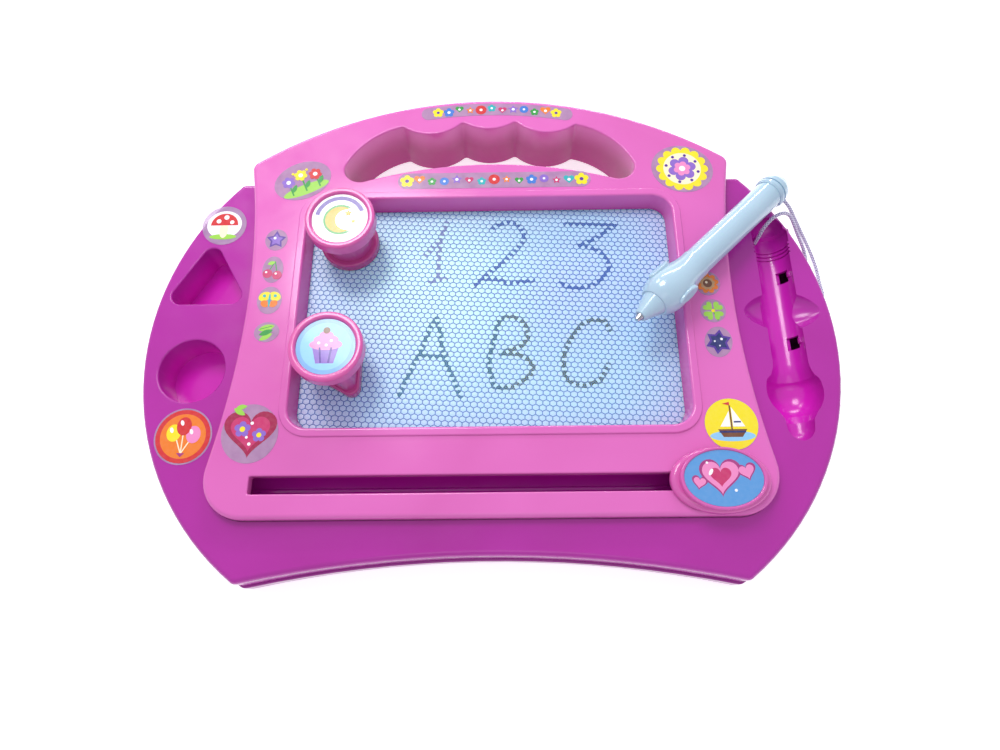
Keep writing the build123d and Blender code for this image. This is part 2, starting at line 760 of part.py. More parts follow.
# Top frame: plate with a skirt, raised bead round the window, handle collar, slot and bosses
slope = degrees(atan2(window_draft, window_depth))
with BuildPart() as top_frame:
    with BuildSketch(Plane.XY.offset(frame_seat)):
        add(frame_outline.sketch)
    extrude(amount=frame_top - frame_seat)
    fillet(top_frame.faces().sort_by(Axis.Z)[-1].edges(), frame_edge_fillet)
    with BuildSketch(Plane.XY.offset(frame_seat)):
        add(resized(frame_outline.sketch, -wall))
    extrude(amount=frame_plate_bottom - frame_seat, mode=Mode.SUBTRACT)
    with BuildSketch(Plane.XY.offset(frame_plate_bottom)):
        with Locations((0, window_middle_y)):
            RectangleRounded(
                window_width + 2 * bead_width, window_length + 2 * bead_width, window_corner + bead_width
            )
    extrude(amount=plate + bead_height)
    fillet(top_frame.faces().sort_by(Axis.Z)[-1].edges(), bead_round)
    with BuildSketch(Plane.XY.offset(screen_top)):
        with Locations((0, window_middle_y)):
            RectangleRounded(window_width + 2 * wall, window_length + 2 * wall, window_corner + wall)
    extrude(amount=frame_plate_bottom - screen_top)
    with BuildSketch(Plane.XY.offset(handle_wall_bottom)):
        add(collar_outline)
    extrude(amount=frame_plate_bottom - handle_wall_bottom)
    with BuildSketch(Plane.XY.offset(tray_top)):
        with Locations(*mirrored(frame_screws_at)):
            Circle(frame_boss_radius)
    extrude(amount=frame_plate_bottom - tray_top)
    with BuildSketch(Plane.XY.offset(panel_bottom)):
        with Locations(*mirrored(retainer_screws_at)):
            Circle(retainer_boss_radius)
    extrude(amount=frame_plate_bottom - panel_bottom)
    with BuildSketch(Plane.XY.offset(frame_top - slot_rim_depth - plate)):
        with Locations((0, slot_y)):
            RectangleRounded(
                2 * (slot_half_length + slot_rim_width),
                slot_width + 2 * slot_rim_width,
                slot_corner + slot_rim_width,
            )
    extrude(amount=slot_rim_depth)
    with BuildSketch(Plane.XY.offset(frame_top + bead_height)):
        with Locations((0, window_middle_y)):
            RectangleRounded(window_width, window_length, window_corner)
    extrude(amount=-window_depth, taper=slope, mode=Mode.SUBTRACT)
    crest = [e for e in top_frame.faces().sort_by(Axis.Z)[-1].inner_wires()[0].edges()]
    fillet(crest, bead_inner_round)
    with BuildSketch(Plane.XY.offset(handle_wall_bottom)):
        add(handle_outline.sketch)
    extrude(amount=frame_top - handle_wall_bottom, mode=Mode.SUBTRACT)
    with BuildSketch(Plane.XY.offset(frame_top - slot_rim_depth - plate)):
        with Locations((0, slot_y)):
            RectangleRounded(2 * slot_half_length, slot_width, slot_corner)
    extrude(amount=slot_rim_depth + plate, mode=Mode.SUBTRACT)
    with BuildSketch(Plane.XY.offset(tray_top)):
        with Locations(*mirrored(frame_screws_at)):
            Circle(screw_radius + screw_gap)
    extrude(amount=frame_screw_length - plate + screw_gap, mode=Mode.SUBTRACT)
    with BuildSketch(Plane.XY.offset(panel_bottom)):
        with Locations(*mirrored(retainer_screws_at)):
            Circle(screw_radius + screw_gap)
    extrude(amount=retainer_screw_length - retainer_thickness + screw_gap, mode=Mode.SUBTRACT)
    plate_faces = top_frame.faces().filter_by(Plane.XY).filter_by_position(
        Axis.Z, frame_top - seat_gap, frame_top + seat_gap
    )
    holes = plate_faces.sort_by(SortBy.AREA)[-1].inner_wires().sort_by(Axis.Y)
    slot_edges = holes[0].edges()
    handle_edges = holes[-1].edges()
    fillet(slot_edges, rim_fillet)
    fillet(handle_edges, handle_edge_fillet)


# Layered screen: front sheet, honeycomb core with its seal rim, back sheet, and the ring that holds them
def panel_sketch(height):
    """The screen's outline at a height."""
    with BuildSketch(Plane.XY.offset(height)) as result:
        with Locations((0, window_middle_y)):
            RectangleRounded(panel_width, panel_length, panel_corner)
    return result.sketch


with BuildPart() as screen_front_sheet:
    add(panel_sketch(core_top))
    extrude(amount=sheet_thickness)

with BuildPart() as screen_back_sheet:
    add(panel_sketch(panel_bottom))
    extrude(amount=sheet_thickness)

with BuildPart() as honeycomb_core:
    with BuildSketch(Plane.XY.offset(core_bottom)):
        with Locations((0, window_middle_y)):
            Rectangle(panel_width - 2 * core_seal_width, panel_length - 2 * core_seal_width)
    extrude(amount=core_thickness)

with BuildPart() as core_seal_rim:
    add(panel_sketch(core_bottom))
    extrude(amount=core_thickness)
    with BuildSketch(Plane.XY.offset(core_bottom)):
        with Locations((0, window_middle_y)):
            Rectangle(panel_width - 2 * core_seal_width, panel_length - 2 * core_seal_width)
    extrude(amount=core_thickness, mode=Mode.SUBTRACT)

retainer_back_y = well_back_y - retainer_gap
with BuildPart() as screen_retainer:
    with BuildSketch(Plane.XY.offset(retainer_bottom)):
        with Locations((0, (retainer_back_y + retainer_front_y) / 2)):
            RectangleRounded(
                2 * (well_half_width - retainer_gap), retainer_back_y - retainer_front_y, well_corner
            )
        with Locations((0, window_middle_y)):
            RectangleRounded(
                window_width - 2 * window_draft,
                window_length - 2 * window_draft,
                window_corner,
                mode=Mode.SUBTRACT,
            )
        with Locations(*mirrored(retainer_screws_at)):
            Circle(screw_radius + screw_gap, mode=Mode.SUBTRACT)
    extrude(amount=retainer_thickness)


# Screws, each head down
def screws(places, seat, length):
    """One screw at each place, its head under a seat and its shank up."""
    with BuildPart() as result:
        with Locations(*raised(places, seat - screw_head_height)):
            Cylinder(screw_head_radius, screw_head_height, align=(Align.CENTER, Align.CENTER, Align.MIN))
        with Locations(*raised(places, seat)):
            Cylinder(screw_radius, length, align=(Align.CENTER, Align.CENTER, Align.MIN))
    return result


case_screws = screws(mirrored(case_screws_at), case_cup_height - case_seat, case_screw_length)
frame_screws = screws(mirrored(frame_screws_at), cavity_top, frame_screw_length)
retainer_screws = screws(mirrored(retainer_screws_at), retainer_bottom, retainer_screw_length)
knob_screw = screws([(knob_rest_x, slot_y)], shoe_top - knob_screw_seat, knob_screw_length)


# Eraser: knob on the frame, carriage in the well, and the magnet strip that draws the powder down
with BuildPart() as slider_knob:
    with BuildSketch(Plane.XY.offset(knob_bottom)):
        with Locations((knob_rest_x, slot_y)):
            Ellipse(knob_length / 2, knob_width / 2)
    extrude(amount=flange_thickness)
    fillet(slider_knob.faces().sort_by(Axis.Z)[-1].edges(), flange_round)
    with BuildSketch(Plane.XY.offset(knob_bottom)):
        with Locations((knob_rest_x, slot_y)):
            Ellipse(crown_length / 2, crown_width / 2)
    extrude(amount=flange_thickness + crown_height)
    with BuildSketch(Plane.XY.offset(crown_top)):
        with Locations((knob_rest_x, slot_y)):
            Ellipse(knob_label_length / 2, knob_label_width / 2)
    extrude(amount=-label_recess, mode=Mode.SUBTRACT)
    fillet(slider_knob.faces().sort_by(Axis.Z)[-1].edges(), knob_rim_round)
    with BuildSketch(Plane.XY.offset(shoe_top)):
        with Locations((knob_rest_x, slot_y)):
            SlotOverall(stem_length, stem_width)
    extrude(amount=knob_bottom - shoe_top)
    with BuildSketch(Plane.XY.offset(shoe_top)):
        with Locations((knob_rest_x, slot_y)):
            Circle(screw_radius + screw_gap)
    extrude(amount=knob_screw_length - knob_screw_seat + screw_gap, mode=Mode.SUBTRACT)

with BuildPart() as knob_label:
    with BuildSketch(Plane.XY.offset(crown_top - label_recess)):
        with Locations((knob_rest_x, slot_y)):
            Ellipse(knob_label_length / 2 - fit_gap, knob_label_width / 2 - fit_gap)
    extrude(amount=label_thickness)

strip_front_y = window_front_y + strip_front_gap
strip_back_y = window_back_y - strip_back_gap
strip_length = strip_back_y - strip_front_y
strip_middle_y = (strip_back_y + strip_front_y) / 2
with BuildPart() as eraser_carriage:
    with BuildSketch(Plane.XY.offset(carriage_bottom)):
        with Locations((knob_rest_x, slot_y)):
            Rectangle(shoe_length, shoe_width)
    extrude(amount=shoe_height)
    with BuildSketch(Plane.XY.offset(carriage_bottom)):
        with Locations((knob_rest_x, (slot_y + arm_end_y) / 2)):
            Rectangle(arm_width, arm_end_y - slot_y)
    extrude(amount=arm_thickness)
    with BuildSketch(Plane.XY.offset(arm_top)):
        with Locations((knob_rest_x, strip_middle_y)):
            Rectangle(arm_width, strip_length)
            Rectangle(strip_width + 2 * fit_gap, strip_length, mode=Mode.SUBTRACT)
    extrude(amount=strip_lip)
    with BuildSketch(Plane.XY.offset(carriage_bottom)):
        with Locations((knob_rest_x, arm_end_y - end_shoe_width / 2)):
            Rectangle(arm_width, end_shoe_width)
    extrude(amount=end_shoe_height)
    with BuildSketch(Plane.XY.offset(carriage_bottom)):
        for rail_y in (slot_y, back_rail_y):
            with Locations((knob_rest_x, rail_y)):
                Rectangle(shoe_length, groove_width)
    extrude(amount=groove_height, mode=Mode.SUBTRACT)
    with BuildSketch(Plane.XY.offset(carriage_bottom)):
        with Locations((knob_rest_x, slot_y)):
            Circle(screw_head_radius + seat_gap)
    extrude(amount=shoe_height - knob_screw_seat, mode=Mode.SUBTRACT)
    with BuildSketch(Plane.XY.offset(carriage_bottom)):
        with Locations((knob_rest_x, slot_y)):
            Circle(screw_radius + screw_gap)
    extrude(amount=shoe_height, mode=Mode.SUBTRACT)

with BuildPart() as eraser_magnet_strip:
    with BuildSketch(Plane.XY.offset(arm_top)):
        with Locations((knob_rest_x, strip_middle_y)):
            Rectangle(strip_width, strip_length)
    extrude(amount=strip_thickness)


# Stamps, each a foot, a waist and a disc, with a magnet under the foot
def stamp_disc(place):
    """The top disc of a stamp with its rounded rim and sunk label bed."""
    with BuildPart() as result:
        with BuildSketch(Plane.XY.offset(screen_top + disc_bottom)):
            with Locations(place):
                Circle(stamp_disc_radius)
        extrude(amount=stamp_disc_thickness)
        with BuildSketch(Plane.XY.offset(screen_top + stamp_height)):
            with Locations(place):
                Circle(label_radius)
        extrude(amount=-stamp_label_depth, mode=Mode.SUBTRACT)
        fillet(result.faces().sort_by(Axis.Z)[-1].edges(), disc_round)
    return result.part


with BuildPart() as round_stamp_body:
    with BuildSketch(Plane.XY.offset(screen_top)):
        with Locations(round_stamp_at):
            Circle(round_foot_radius)
    extrude(amount=foot_height)
    fillet(round_stamp_body.faces().sort_by(Axis.Z)[-1].edges(), foot_round)
    add(stamp_disc(round_stamp_at))
    with BuildSketch(Plane.XY.offset(screen_top)):
        with Locations(round_stamp_at):
            Circle(stamp_waist_radius)
    extrude(amount=disc_bottom)
    with BuildSketch(Plane.XY.offset(screen_top)):
        with Locations(round_stamp_at):
            Circle(round_magnet_radius + stamp_magnet_gap)
    extrude(amount=stamp_magnet_thickness, mode=Mode.SUBTRACT)
    with BuildSketch(Plane.XY.offset(screen_top)):
        with Locations(round_stamp_at):
            Circle(stamp_bore_radius)
    extrude(amount=disc_bottom, mode=Mode.SUBTRACT)

with BuildPart() as round_stamp_magnet:
    with BuildSketch(Plane.XY.offset(screen_top)):
        with Locations(round_stamp_at):
            Circle(round_magnet_radius)
    extrude(amount=stamp_magnet_thickness)


def triangle_outline(inradius, corner):
    """A triangle with round corners, one edge towards the middle of the screen."""
    with BuildSketch() as result:
        with Locations(triangle_stamp_at):
            RegularPolygon(inradius, 3, major_radius=False, rotation=triangle_stamp_turn)
        fillet(result.vertices(), corner)
    return result.sketch


with BuildPart() as triangle_stamp_body:
    with BuildSketch(Plane.XY.offset(screen_top)):
        add(triangle_outline(triangle_foot_inradius, triangle_foot_round))
    extrude(amount=foot_height)
    fillet(triangle_stamp_body.faces().sort_by(Axis.Z)[-1].edges(), foot_round)
    add(stamp_disc(triangle_stamp_at))
    with BuildSketch(Plane.XY.offset(screen_top + foot_height - foot_round)):
        add(triangle_outline(triangle_foot_inradius - foot_round, triangle_foot_round))
    extrude(amount=disc_bottom - foot_height + foot_round, taper=triangle_stem_taper)
    with BuildSketch(Plane.XY.offset(screen_top)):
        add(triangle_outline(triangle_magnet_inradius + stamp_magnet_gap, triangle_magnet_round))
    extrude(amount=stamp_magnet_thickness, mode=Mode.SUBTRACT)
    with BuildSketch(Plane.XY.offset(screen_top)):
        with Locations(triangle_stamp_at):
            Circle(triangle_bore_radius)
    extrude(amount=disc_bottom, mode=Mode.SUBTRACT)

with BuildPart() as triangle_stamp_magnet:
    with BuildSketch(Plane.XY.offset(screen_top)):
        add(triangle_outline(triangle_magnet_inradius, triangle_magnet_round))
    extrude(amount=stamp_magnet_thickness)


def disc_label(place):
    """The thin label that lies in a stamp's top."""
    with BuildPart() as result:
        with BuildSketch(Plane.XY.offset(screen_top + label_floor)):
            with Locations(place):
                Circle(label_radius - fit_gap)
        extrude(amount=label_thickness)
    return result


round_stamp_label = disc_label(round_stamp_at)
triangle_stamp_label = disc_label(triangle_stamp_at)


# Pen: its pieces are turned about one axis, which leans down from the tip to the cap
heading = radians(pen_heading)
pitch = radians(pen_pitch)
pen_direction = Vector(cos(pitch) * cos(heading), cos(pitch) * sin(heading), sin(pitch))
pen_side = Vector(sin(heading), -cos(heading), 0)
pen_up = pen_side.cross(pen_direction)
pen_tip = Vector(*pen_tip_at)
pen_axis = Axis(pen_tip_at, pen_direction)
pen_plane = Plane(origin=pen_tip_at, x_dir=pen_direction, z_dir=pen_side)


def turned(points):
    """A body turned about the pen's axis from a half outline of distances along it and radii."""
    with BuildPart() as result:
        with BuildSketch(pen_plane):
            with BuildLine():
                Polyline(*points, close=True)
            make_face()
        revolve(axis=pen_axis)
    return result


def pen_axis_distance(point):
    """How far a point lies from the pen's axis."""
    return (point - pen_tip).cross(pen_direction).length


def across(distance, angle=0.0, radius=0.0):
    """A plane square to a ray out of the pen's axis, its x direction along the pen."""
    ray = pen_up * cos(radians(angle)) + pen_side * sin(radians(angle))
    return Plane(origin=pen_tip + pen_direction * distance + ray * radius, x_dir=pen_direction, z_dir=ray)


def finger_bump(angle):
    """An oval pad that stands out of the grip, at an angle round the pen's axis."""
    with BuildPart() as result:
        with BuildSketch(across(bump_at, angle, spigot_radius + wall)):
            Ellipse(bump_length / 2, bump_width / 2)
        extrude(amount=grip_belly_radius + bump_rise - spigot_radius - wall)
        fillet(result.edges().sort_by(lambda edge: pen_axis_distance(edge.center()))[-1], bump_round)
    return result.part


pen_tip_magnet = turned(
    (
        (tip_ball_flat, 0),
        (tip_ball_flat, tip_ball_radius),
        (tip_pin_length, tip_pin_radius),
        (tip_pin_length + tip_magnet_length, tip_pin_radius),
        (tip_pin_length + tip_magnet_length, 0),
    )
)

pen_nose = turned(
    (
        (tip_pin_length, tip_pin_radius + fit_gap),
        (tip_pin_length, nose_start_radius),
        (nose_end, nose_end_radius),
        (nose_end, spigot_radius - fit_gap),
        (nose_end + spigot_length, spigot_radius - fit_gap),
        (nose_end + spigot_length, tip_pin_radius + fit_gap),
    )
)

with BuildPart() as pen_grip:
    with BuildSketch(pen_plane):
        with BuildLine():
            Line((nose_end, spigot_radius), (nose_end, grip_start_radius))
            Spline(
                (nose_end, grip_start_radius),
                (grip_belly, grip_belly_radius),
                (grip_shoulder, grip_shoulder_radius),
                (grip_end, grip_end_radius),
            )
            Polyline((grip_end, grip_end_radius), (grip_end, spigot_radius), (nose_end, spigot_radius))
        make_face()
    revolve(axis=pen_axis)
    for angle in bump_angles:
        add(finger_bump(angle))

pen_barrel = turned(
    (
        (grip_end - spigot_length, barrel_bore_radius),
        (grip_end - spigot_length, spigot_radius - fit_gap),
        (grip_end, spigot_radius - fit_gap),
        (grip_end, barrel_radius),
        (cap_start, barrel_radius),
        (cap_start, spigot_radius - fit_gap),
        (cap_start + spigot_length, spigot_radius - fit_gap),
        (cap_start + spigot_length, barrel_bore_radius),
    )
)

with BuildPart() as pen_end_cap:
    with BuildSketch(pen_plane):
        with BuildLine():
            Polyline(
                (pen_length, 0),
                (pen_length - pen_skin, 0),
                (pen_length - pen_skin, cap_dome_radius),
                (cap_bore_end, spigot_radius),
                (cap_start, spigot_radius),
                (cap_start, cap_ring_radius - cap_groove),
                (cap_start + cap_groove_width, cap_ring_radius),
                (cap_start + cap_ring_width, cap_ring_radius),
                (cap_start + cap_ring_width, cap_ring_radius - cap_groove),
                (cap_start + cap_ring_width + cap_groove_width, cap_ring_radius - cap_groove),
                (cap_start + cap_ring_width + cap_groove_width, cap_ring_radius),
                (cap_shoulder, cap_shoulder_radius),
                (pen_length - cap_dome_height, cap_dome_radius + pen_skin / 2),
                (pen_length, cap_dome_radius - pen_skin),
                (pen_length, 0),
            )
        make_face()
    revolve(axis=pen_axis)
    with BuildSketch(across(cord_exit, 90 + cord_drop_angle)):
        Circle(cord_radius + cord_hole_gap)
    extrude(amount=cord_clear_radius, mode=Mode.SUBTRACT)


# Tether cord: straight runs joined by arcs, from the knot in the cap to the knot under the tray
cord_ray = pen_side * cos(radians(cord_drop_angle)) - pen_up * sin(radians(cord_drop_angle))
cord_root = pen_tip + pen_direction * cord_exit
cord_start = cord_root + cord_ray * cord_start_radius
route = [
    cord_start,
    cord_root + cord_ray * cord_clear_radius,
    *[Vector(*point) for point in cord_points],
    Vector(*anchor_at, anchor_bend_z),
    Vector(*anchor_at, anchor_pad_bottom),
]
runs = [(b - a).length for a, b in zip(route, route[1:])]
turns = [
    radians((b - a).get_angle(c - b)) for a, b, c in zip(route, route[1:], route[2:])
]
radii = [cord_share * min(pair) / tan(turn / 2) for pair, turn in zip(zip(runs, runs[1:]), turns)]
print("cord radii", [round(radius, 1) for radius in radii])
print("cord turns", [round(degrees(turn)) for turn in turns])
print("cord runs", [round(run, 1) for run in runs])
with BuildLine() as cord_path:
    FilletPolyline(*route, radius=radii)
with BuildPart() as tether_cord:
    with BuildSketch(Plane(origin=cord_start, z_dir=cord_ray)):
        Circle(cord_radius)
    sweep(path=cord_path.line)
cord_length = cord_path.wire().length
print("cord length", cord_length)
print("cord volume over section times length", tether_cord.part.volume / (pi * cord_radius**2 * cord_length))

with BuildPart() as pen_cord_knot:
    with Locations(Location(cord_root)):
        Sphere(knot_radius)
    split(bisect_by=Plane(origin=cord_start, z_dir=cord_ray), keep=Keep.BOTTOM)

knot_sink = sqrt(knot_radius**2 - (cord_radius + cord_hole_gap) ** 2)
with BuildPart() as anchor_knot:
    with Locations((*anchor_at, anchor_pad_bottom - knot_sink)):
        Sphere(knot_radius)
    split(bisect_by=Plane.XY.offset(anchor_pad_bottom), keep=Keep.BOTTOM)


# Labels on the frame and on the tray
with BuildPart() as tray_labels:
    with BuildSketch(Plane.XY.offset(tray_top)):
        for (inset, y), radius in zip(tray_label_places, tray_label_radii):
            with Locations((inset - half_width, y)):
                Circle(radius)
    extrude(amount=label_thickness)

with BuildPart() as frame_labels:
    with BuildSketch(Plane.XY.offset(frame_top)):
        for (inset, y), size, turn in zip(left_label_places, left_label_sizes, left_label_turns):
            with Locations(Location((inset - frame_waist_x, y, 0), turn)):
                Ellipse(size[0] / 2, size[1] / 2)
        for (inset, y), size, turn in zip(right_label_places, right_label_sizes, right_label_turns):
            with Locations(Location((frame_waist_x - inset, y, 0), turn)):
                Ellipse(size[0] / 2, size[1] / 2)
        with Locations(strip_label_at):
            SlotOverall(strip_label_length, strip_label_width)
        with BuildLine(mode=Mode.PRIVATE) as title_line:
            CenterArc(
                (0, arch_centre_y),
                title_label_radius,
                title_label_angles[0],
                title_label_angles[1] - title_label_angles[0],
            )
        SlotArc(title_line.edge(), title_label_width)
    extrude(amount=label_thickness)


parts = {
    "lower_shell": lower_shell,
    "base_tray": base_tray,
    "top_frame": top_frame,
    "screen_front_sheet": screen_front_sheet,
    "screen_back_sheet": screen_back_sheet,
    "honeycomb_core": honeycomb_core,
    "core_seal_rim": core_seal_rim,
    "screen_retainer": screen_retainer,
    "case_screws": case_screws,
    "frame_screws": frame_screws,
    "retainer_screws": retainer_screws,
    "frame_labels": frame_labels,
    "tray_labels": tray_labels,
    "anchor_knot": anchor_knot,
    "slider_knob": slider_knob,
    "knob_label": knob_label,
    "knob_screw": knob_screw,
    "eraser_carriage": eraser_carriage,
    "eraser_magnet_strip": eraser_magnet_strip,
    "round_stamp_body": round_stamp_body,
    "round_stamp_label": round_stamp_label,
    "round_stamp_magnet": round_stamp_magnet,
    "triangle_stamp_body": triangle_stamp_body,
    "triangle_stamp_label": triangle_stamp_label,
    "triangle_stamp_magnet": triangle_stamp_magnet,
    "pen_tip_magnet": pen_tip_magnet,
    "pen_nose": pen_nose,
    "pen_grip": pen_grip,
    "pen_barrel": pen_barrel,
    "pen_end_cap": pen_end_cap,
    "pen_cord_knot": pen_cord_knot,
    "tether_cord": tether_cord,
}
os.makedirs("parts", exist_ok=True)
for label, piece in parts.items():
    piece.part.label = label
    export_step(piece.part, f"parts/{label}.step")
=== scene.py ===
from math import ceil, cos, pi, radians, sin

import bmesh
import bpy
from mathutils import Matrix, Vector


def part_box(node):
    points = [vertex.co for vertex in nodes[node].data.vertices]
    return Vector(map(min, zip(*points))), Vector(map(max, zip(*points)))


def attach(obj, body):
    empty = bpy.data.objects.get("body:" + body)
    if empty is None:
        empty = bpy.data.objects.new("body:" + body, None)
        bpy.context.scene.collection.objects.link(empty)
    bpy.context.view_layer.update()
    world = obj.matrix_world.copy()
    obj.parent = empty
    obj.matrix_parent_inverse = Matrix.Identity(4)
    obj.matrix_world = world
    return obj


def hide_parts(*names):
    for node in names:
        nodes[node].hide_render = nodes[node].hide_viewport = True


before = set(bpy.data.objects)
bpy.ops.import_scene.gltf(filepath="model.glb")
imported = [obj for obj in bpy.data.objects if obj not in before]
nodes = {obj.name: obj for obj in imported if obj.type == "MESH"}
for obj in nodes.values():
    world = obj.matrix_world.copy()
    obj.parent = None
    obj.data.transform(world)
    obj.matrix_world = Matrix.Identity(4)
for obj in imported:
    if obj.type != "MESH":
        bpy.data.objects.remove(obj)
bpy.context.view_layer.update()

# Lengths are in metres, in the board's frame. MM turns a size in millimetres into metres.
MM = 0.001

# Camera at the photograph's angle
camera_place = Vector((9.40, -157.0, 367.7)) * MM
camera_tilt = radians(70.43)
camera_roll = radians(-2.39)
camera_heading = radians(1.84)
camera_lens = 23.60
sensor_width = 36.0

# Heights of the labels that carry prints, and the ink on them
on_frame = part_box("frame_labels")[1].z
on_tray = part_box("tray_labels")[1].z
on_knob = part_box("knob_label")[1].z
on_round_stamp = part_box("round_stamp_label")[1].z
on_triangle_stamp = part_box("triangle_stamp_label")[1].z
print_step = 0.02 * MM
print_thickness = 0.03 * MM
outline_step = 0.002 * MM

# Window and honeycomb
core_low, core_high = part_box("honeycomb_core")
cell_pitch = 3.78 * MM
row_pitch = 2.9 * MM
cell_turn = radians(-3.5)
cell_middle = Vector((0.0, 3.0 * MM))
cell_inset = 0.875
wall_drop = 0.02 * MM
fluid_drop = 0.14 * MM
fluid_crown = 0.09 * MM
fluid_shoulder = 0.7
cell_depth = 0.7 * MM
wall_top = core_high.z - wall_drop
fluid_top = core_high.z - fluid_drop


def linear(text):
    """A colour written as six hex digits, as linear values."""
    parts = [int(text[i : i + 2], 16) / 255 for i in (0, 2, 4)]
    return tuple(c / 12.92 if c <= 0.04045 else ((c + 0.055) / 1.055) ** 2.4 for c in parts) + (1.0,)


# Materials
class Surface:
    """A node material on the object's own coordinates, in metres."""

    def __init__(self, name, roughness=0.3, coat=0.0, coat_roughness=0.05, metallic=0.0, alpha=1.0):
        self.material = bpy.data.materials.new(name)
        self.material.use_nodes = True
        self.tree = self.material.node_tree
        self.shader = self.tree.nodes["Principled BSDF"]
        self.coordinates = self.tree.nodes.new("ShaderNodeTexCoord").outputs["Object"]
        self.set("Roughness", roughness)
        self.set("Coat Weight", coat)
        self.set("Coat Roughness", coat_roughness)
        self.set("Metallic", metallic)
        self.set("Alpha", alpha)

    def set(self, socket, value):
        self.shader.inputs[socket].default_value = value

    def link(self, output, socket):
        self.tree.links.new(output, self.shader.inputs[socket])

    def noise(self, scale, detail=3.0, distortion=0.0):
        node = self.tree.nodes.new("ShaderNodeTexNoise")
        node.inputs["Scale"].default_value = scale
        node.inputs["Detail"].default_value = detail
        node.inputs["Distortion"].default_value = distortion
        self.tree.links.new(self.coordinates, node.inputs["Vector"])
        return node.outputs["Fac"]

    def ramp(self, factor, stops):
        """Colours along a factor, from pairs of position and colour."""
        node = self.tree.nodes.new("ShaderNodeValToRGB")
        while len(node.color_ramp.elements) < len(stops):
            node.color_ramp.elements.new(1.0)
        for element, (position, colour) in zip(node.color_ramp.elements, stops):
            element.position = position
            element.color = colour
        self.tree.links.new(factor, node.inputs["Fac"])
        return node.outputs["Color"]

    def spread(self, factor, low, high):
        """A factor between 0.3 and 0.7 stretched from low to high."""
        node = self.tree.nodes.new("ShaderNodeMapRange")
        node.inputs["From Min"].default_value = 0.3
        node.inputs["From Max"].default_value = 0.7
        node.inputs["To Min"].default_value = low
        node.inputs["To Max"].default_value = high
        self.tree.links.new(factor, node.inputs["Value"])
        return node.outputs["Result"]

    def share(self, output, low, high):
        """A smooth factor from 0 at a low value to 1 at a high one."""
        node = self.tree.nodes.new("ShaderNodeMapRange")
        node.interpolation_type = "SMOOTHSTEP"
        node.inputs["From Min"].default_value = low
        node.inputs["From Max"].default_value = high
        self.tree.links.new(output, node.inputs["Value"])
        return node.outputs["Result"]

    def along_axis(self, axis):
        node = self.tree.nodes.new("ShaderNodeSeparateXYZ")
        self.tree.links.new(self.coordinates, node.inputs["Vector"])
        return node.outputs[axis]

    def distance(self, place):
        node = self.tree.nodes.new("ShaderNodeVectorMath")
        node.operation = "DISTANCE"
        node.inputs[1].default_value = place
        self.tree.links.new(self.coordinates, node.inputs[0])
        return node.outputs["Value"]

    def mix(self, factor, first, second):
        """Two colours, each fixed or a node's output, mixed by a factor."""
        node = self.tree.nodes.new("ShaderNodeMix")
        node.data_type = "RGBA"
        self.tree.links.new(factor, node.inputs["Factor"])
        for socket, colour in (("A", first), ("B", second)):
            if isinstance(colour, tuple):
                node.inputs[socket].default_value = colour
            else:
                self.tree.links.new(colour, node.inputs[socket])
        return node.outputs["Result"]

    def bump(self, factor, strength, distance):
        node = self.tree.nodes.new("ShaderNodeBump")
        node.inputs["Strength"].default_value = strength
        node.inputs["Distance"].default_value = distance
        self.tree.links.new(factor, node.inputs["Height"])
        before = self.shader.inputs["Normal"].links
        if before:
            self.tree.links.new(before[0].from_socket, node.inputs["Normal"])
        self.link(node.outputs["Normal"], "Normal")


# Where the tray's hollows end and its outer walls begin; the painted bounced light of the hollows stops there
side_arc_centres = ((-35 * MM, -17 * MM, 20 * MM), (35 * MM, -17 * MM, 20 * MM))
side_arc_reach = (152 * MM, 157 * MM)
hollows_front = (-107 * MM, -112 * MM)
hollows_back = (74 * MM, 79 * MM)


def painted_light_inside_tray(surface, hollow, outer):
    """The hollows inside the tray take the painted bounced-light colour, and its outer walls the outer
    colour.
    """
    colour = outer
    for centre in side_arc_centres:
        past_arc = surface.share(surface.distance(centre), *side_arc_reach)
        colour = surface.mix(past_arc, hollow, colour)
    for reach in (hollows_front, hollows_back):
        past_end = surface.share(surface.along_axis("Y"), *reach)
        colour = surface.mix(past_end, colour, outer)
    return colour


def moulded(name, main, shade, roughness, coat, painted_hollow_light=None, inside_only=False):
    """Glossy injection-moulded plastic with slow colour flow, sink marks and a fine skin.

    Painted light in the hollows: below the first of the two heights given with the painted tone the surface
    takes that tone, standing in for shade or bounced light, and the tone fades into the main colour by the
    second height.
    """
    surface = Surface(name, roughness, coat, 0.06)
    colour = surface.ramp(surface.noise(11.0, 2.0, 0.6), ((0.3, linear(shade)), (0.72, linear(main))))
    # Painted shade or bounced light by height, strongest on the lowest surfaces
    if painted_hollow_light:
        tone, low, high = painted_hollow_light
        hollow = surface.mix(surface.share(surface.along_axis("Z"), low, high), linear(tone), colour)
        colour = painted_light_inside_tray(surface, hollow, colour) if inside_only else hollow
    surface.link(colour, "Base Color")
    surface.link(surface.spread(surface.noise(70.0, 4.0), roughness - 0.04, roughness + 0.07), "Roughness")
    surface.set("Subsurface Weight", 0.06)
    surface.set("Subsurface Radius", (1.0, 0.45, 0.8))
    surface.set("Subsurface Scale", 1.5 * MM)
    surface.bump(surface.noise(26.0, 2.0), 0.25, 0.25 * MM)
    surface.bump(surface.noise(1500.0, 2.0), 0.05, 0.04 * MM)
    return surface.material


def printed(name, main, roughness=0.2):
    """Printing ink under gloss varnish, with a faint unevenness."""
    surface = Surface(name, roughness, 0.25, 0.05)
    pale = tuple(0.97 * c + 0.03 for c in linear(main)[:3]) + (1.0,)
    colour = surface.ramp(surface.noise(420.0, 3.0), ((0.35, linear(main)), (0.75, pale)))
    surface.link(colour, "Base Color")
    surface.bump(surface.noise(900.0, 2.0), 0.06, 0.03 * MM)
    return surface.material


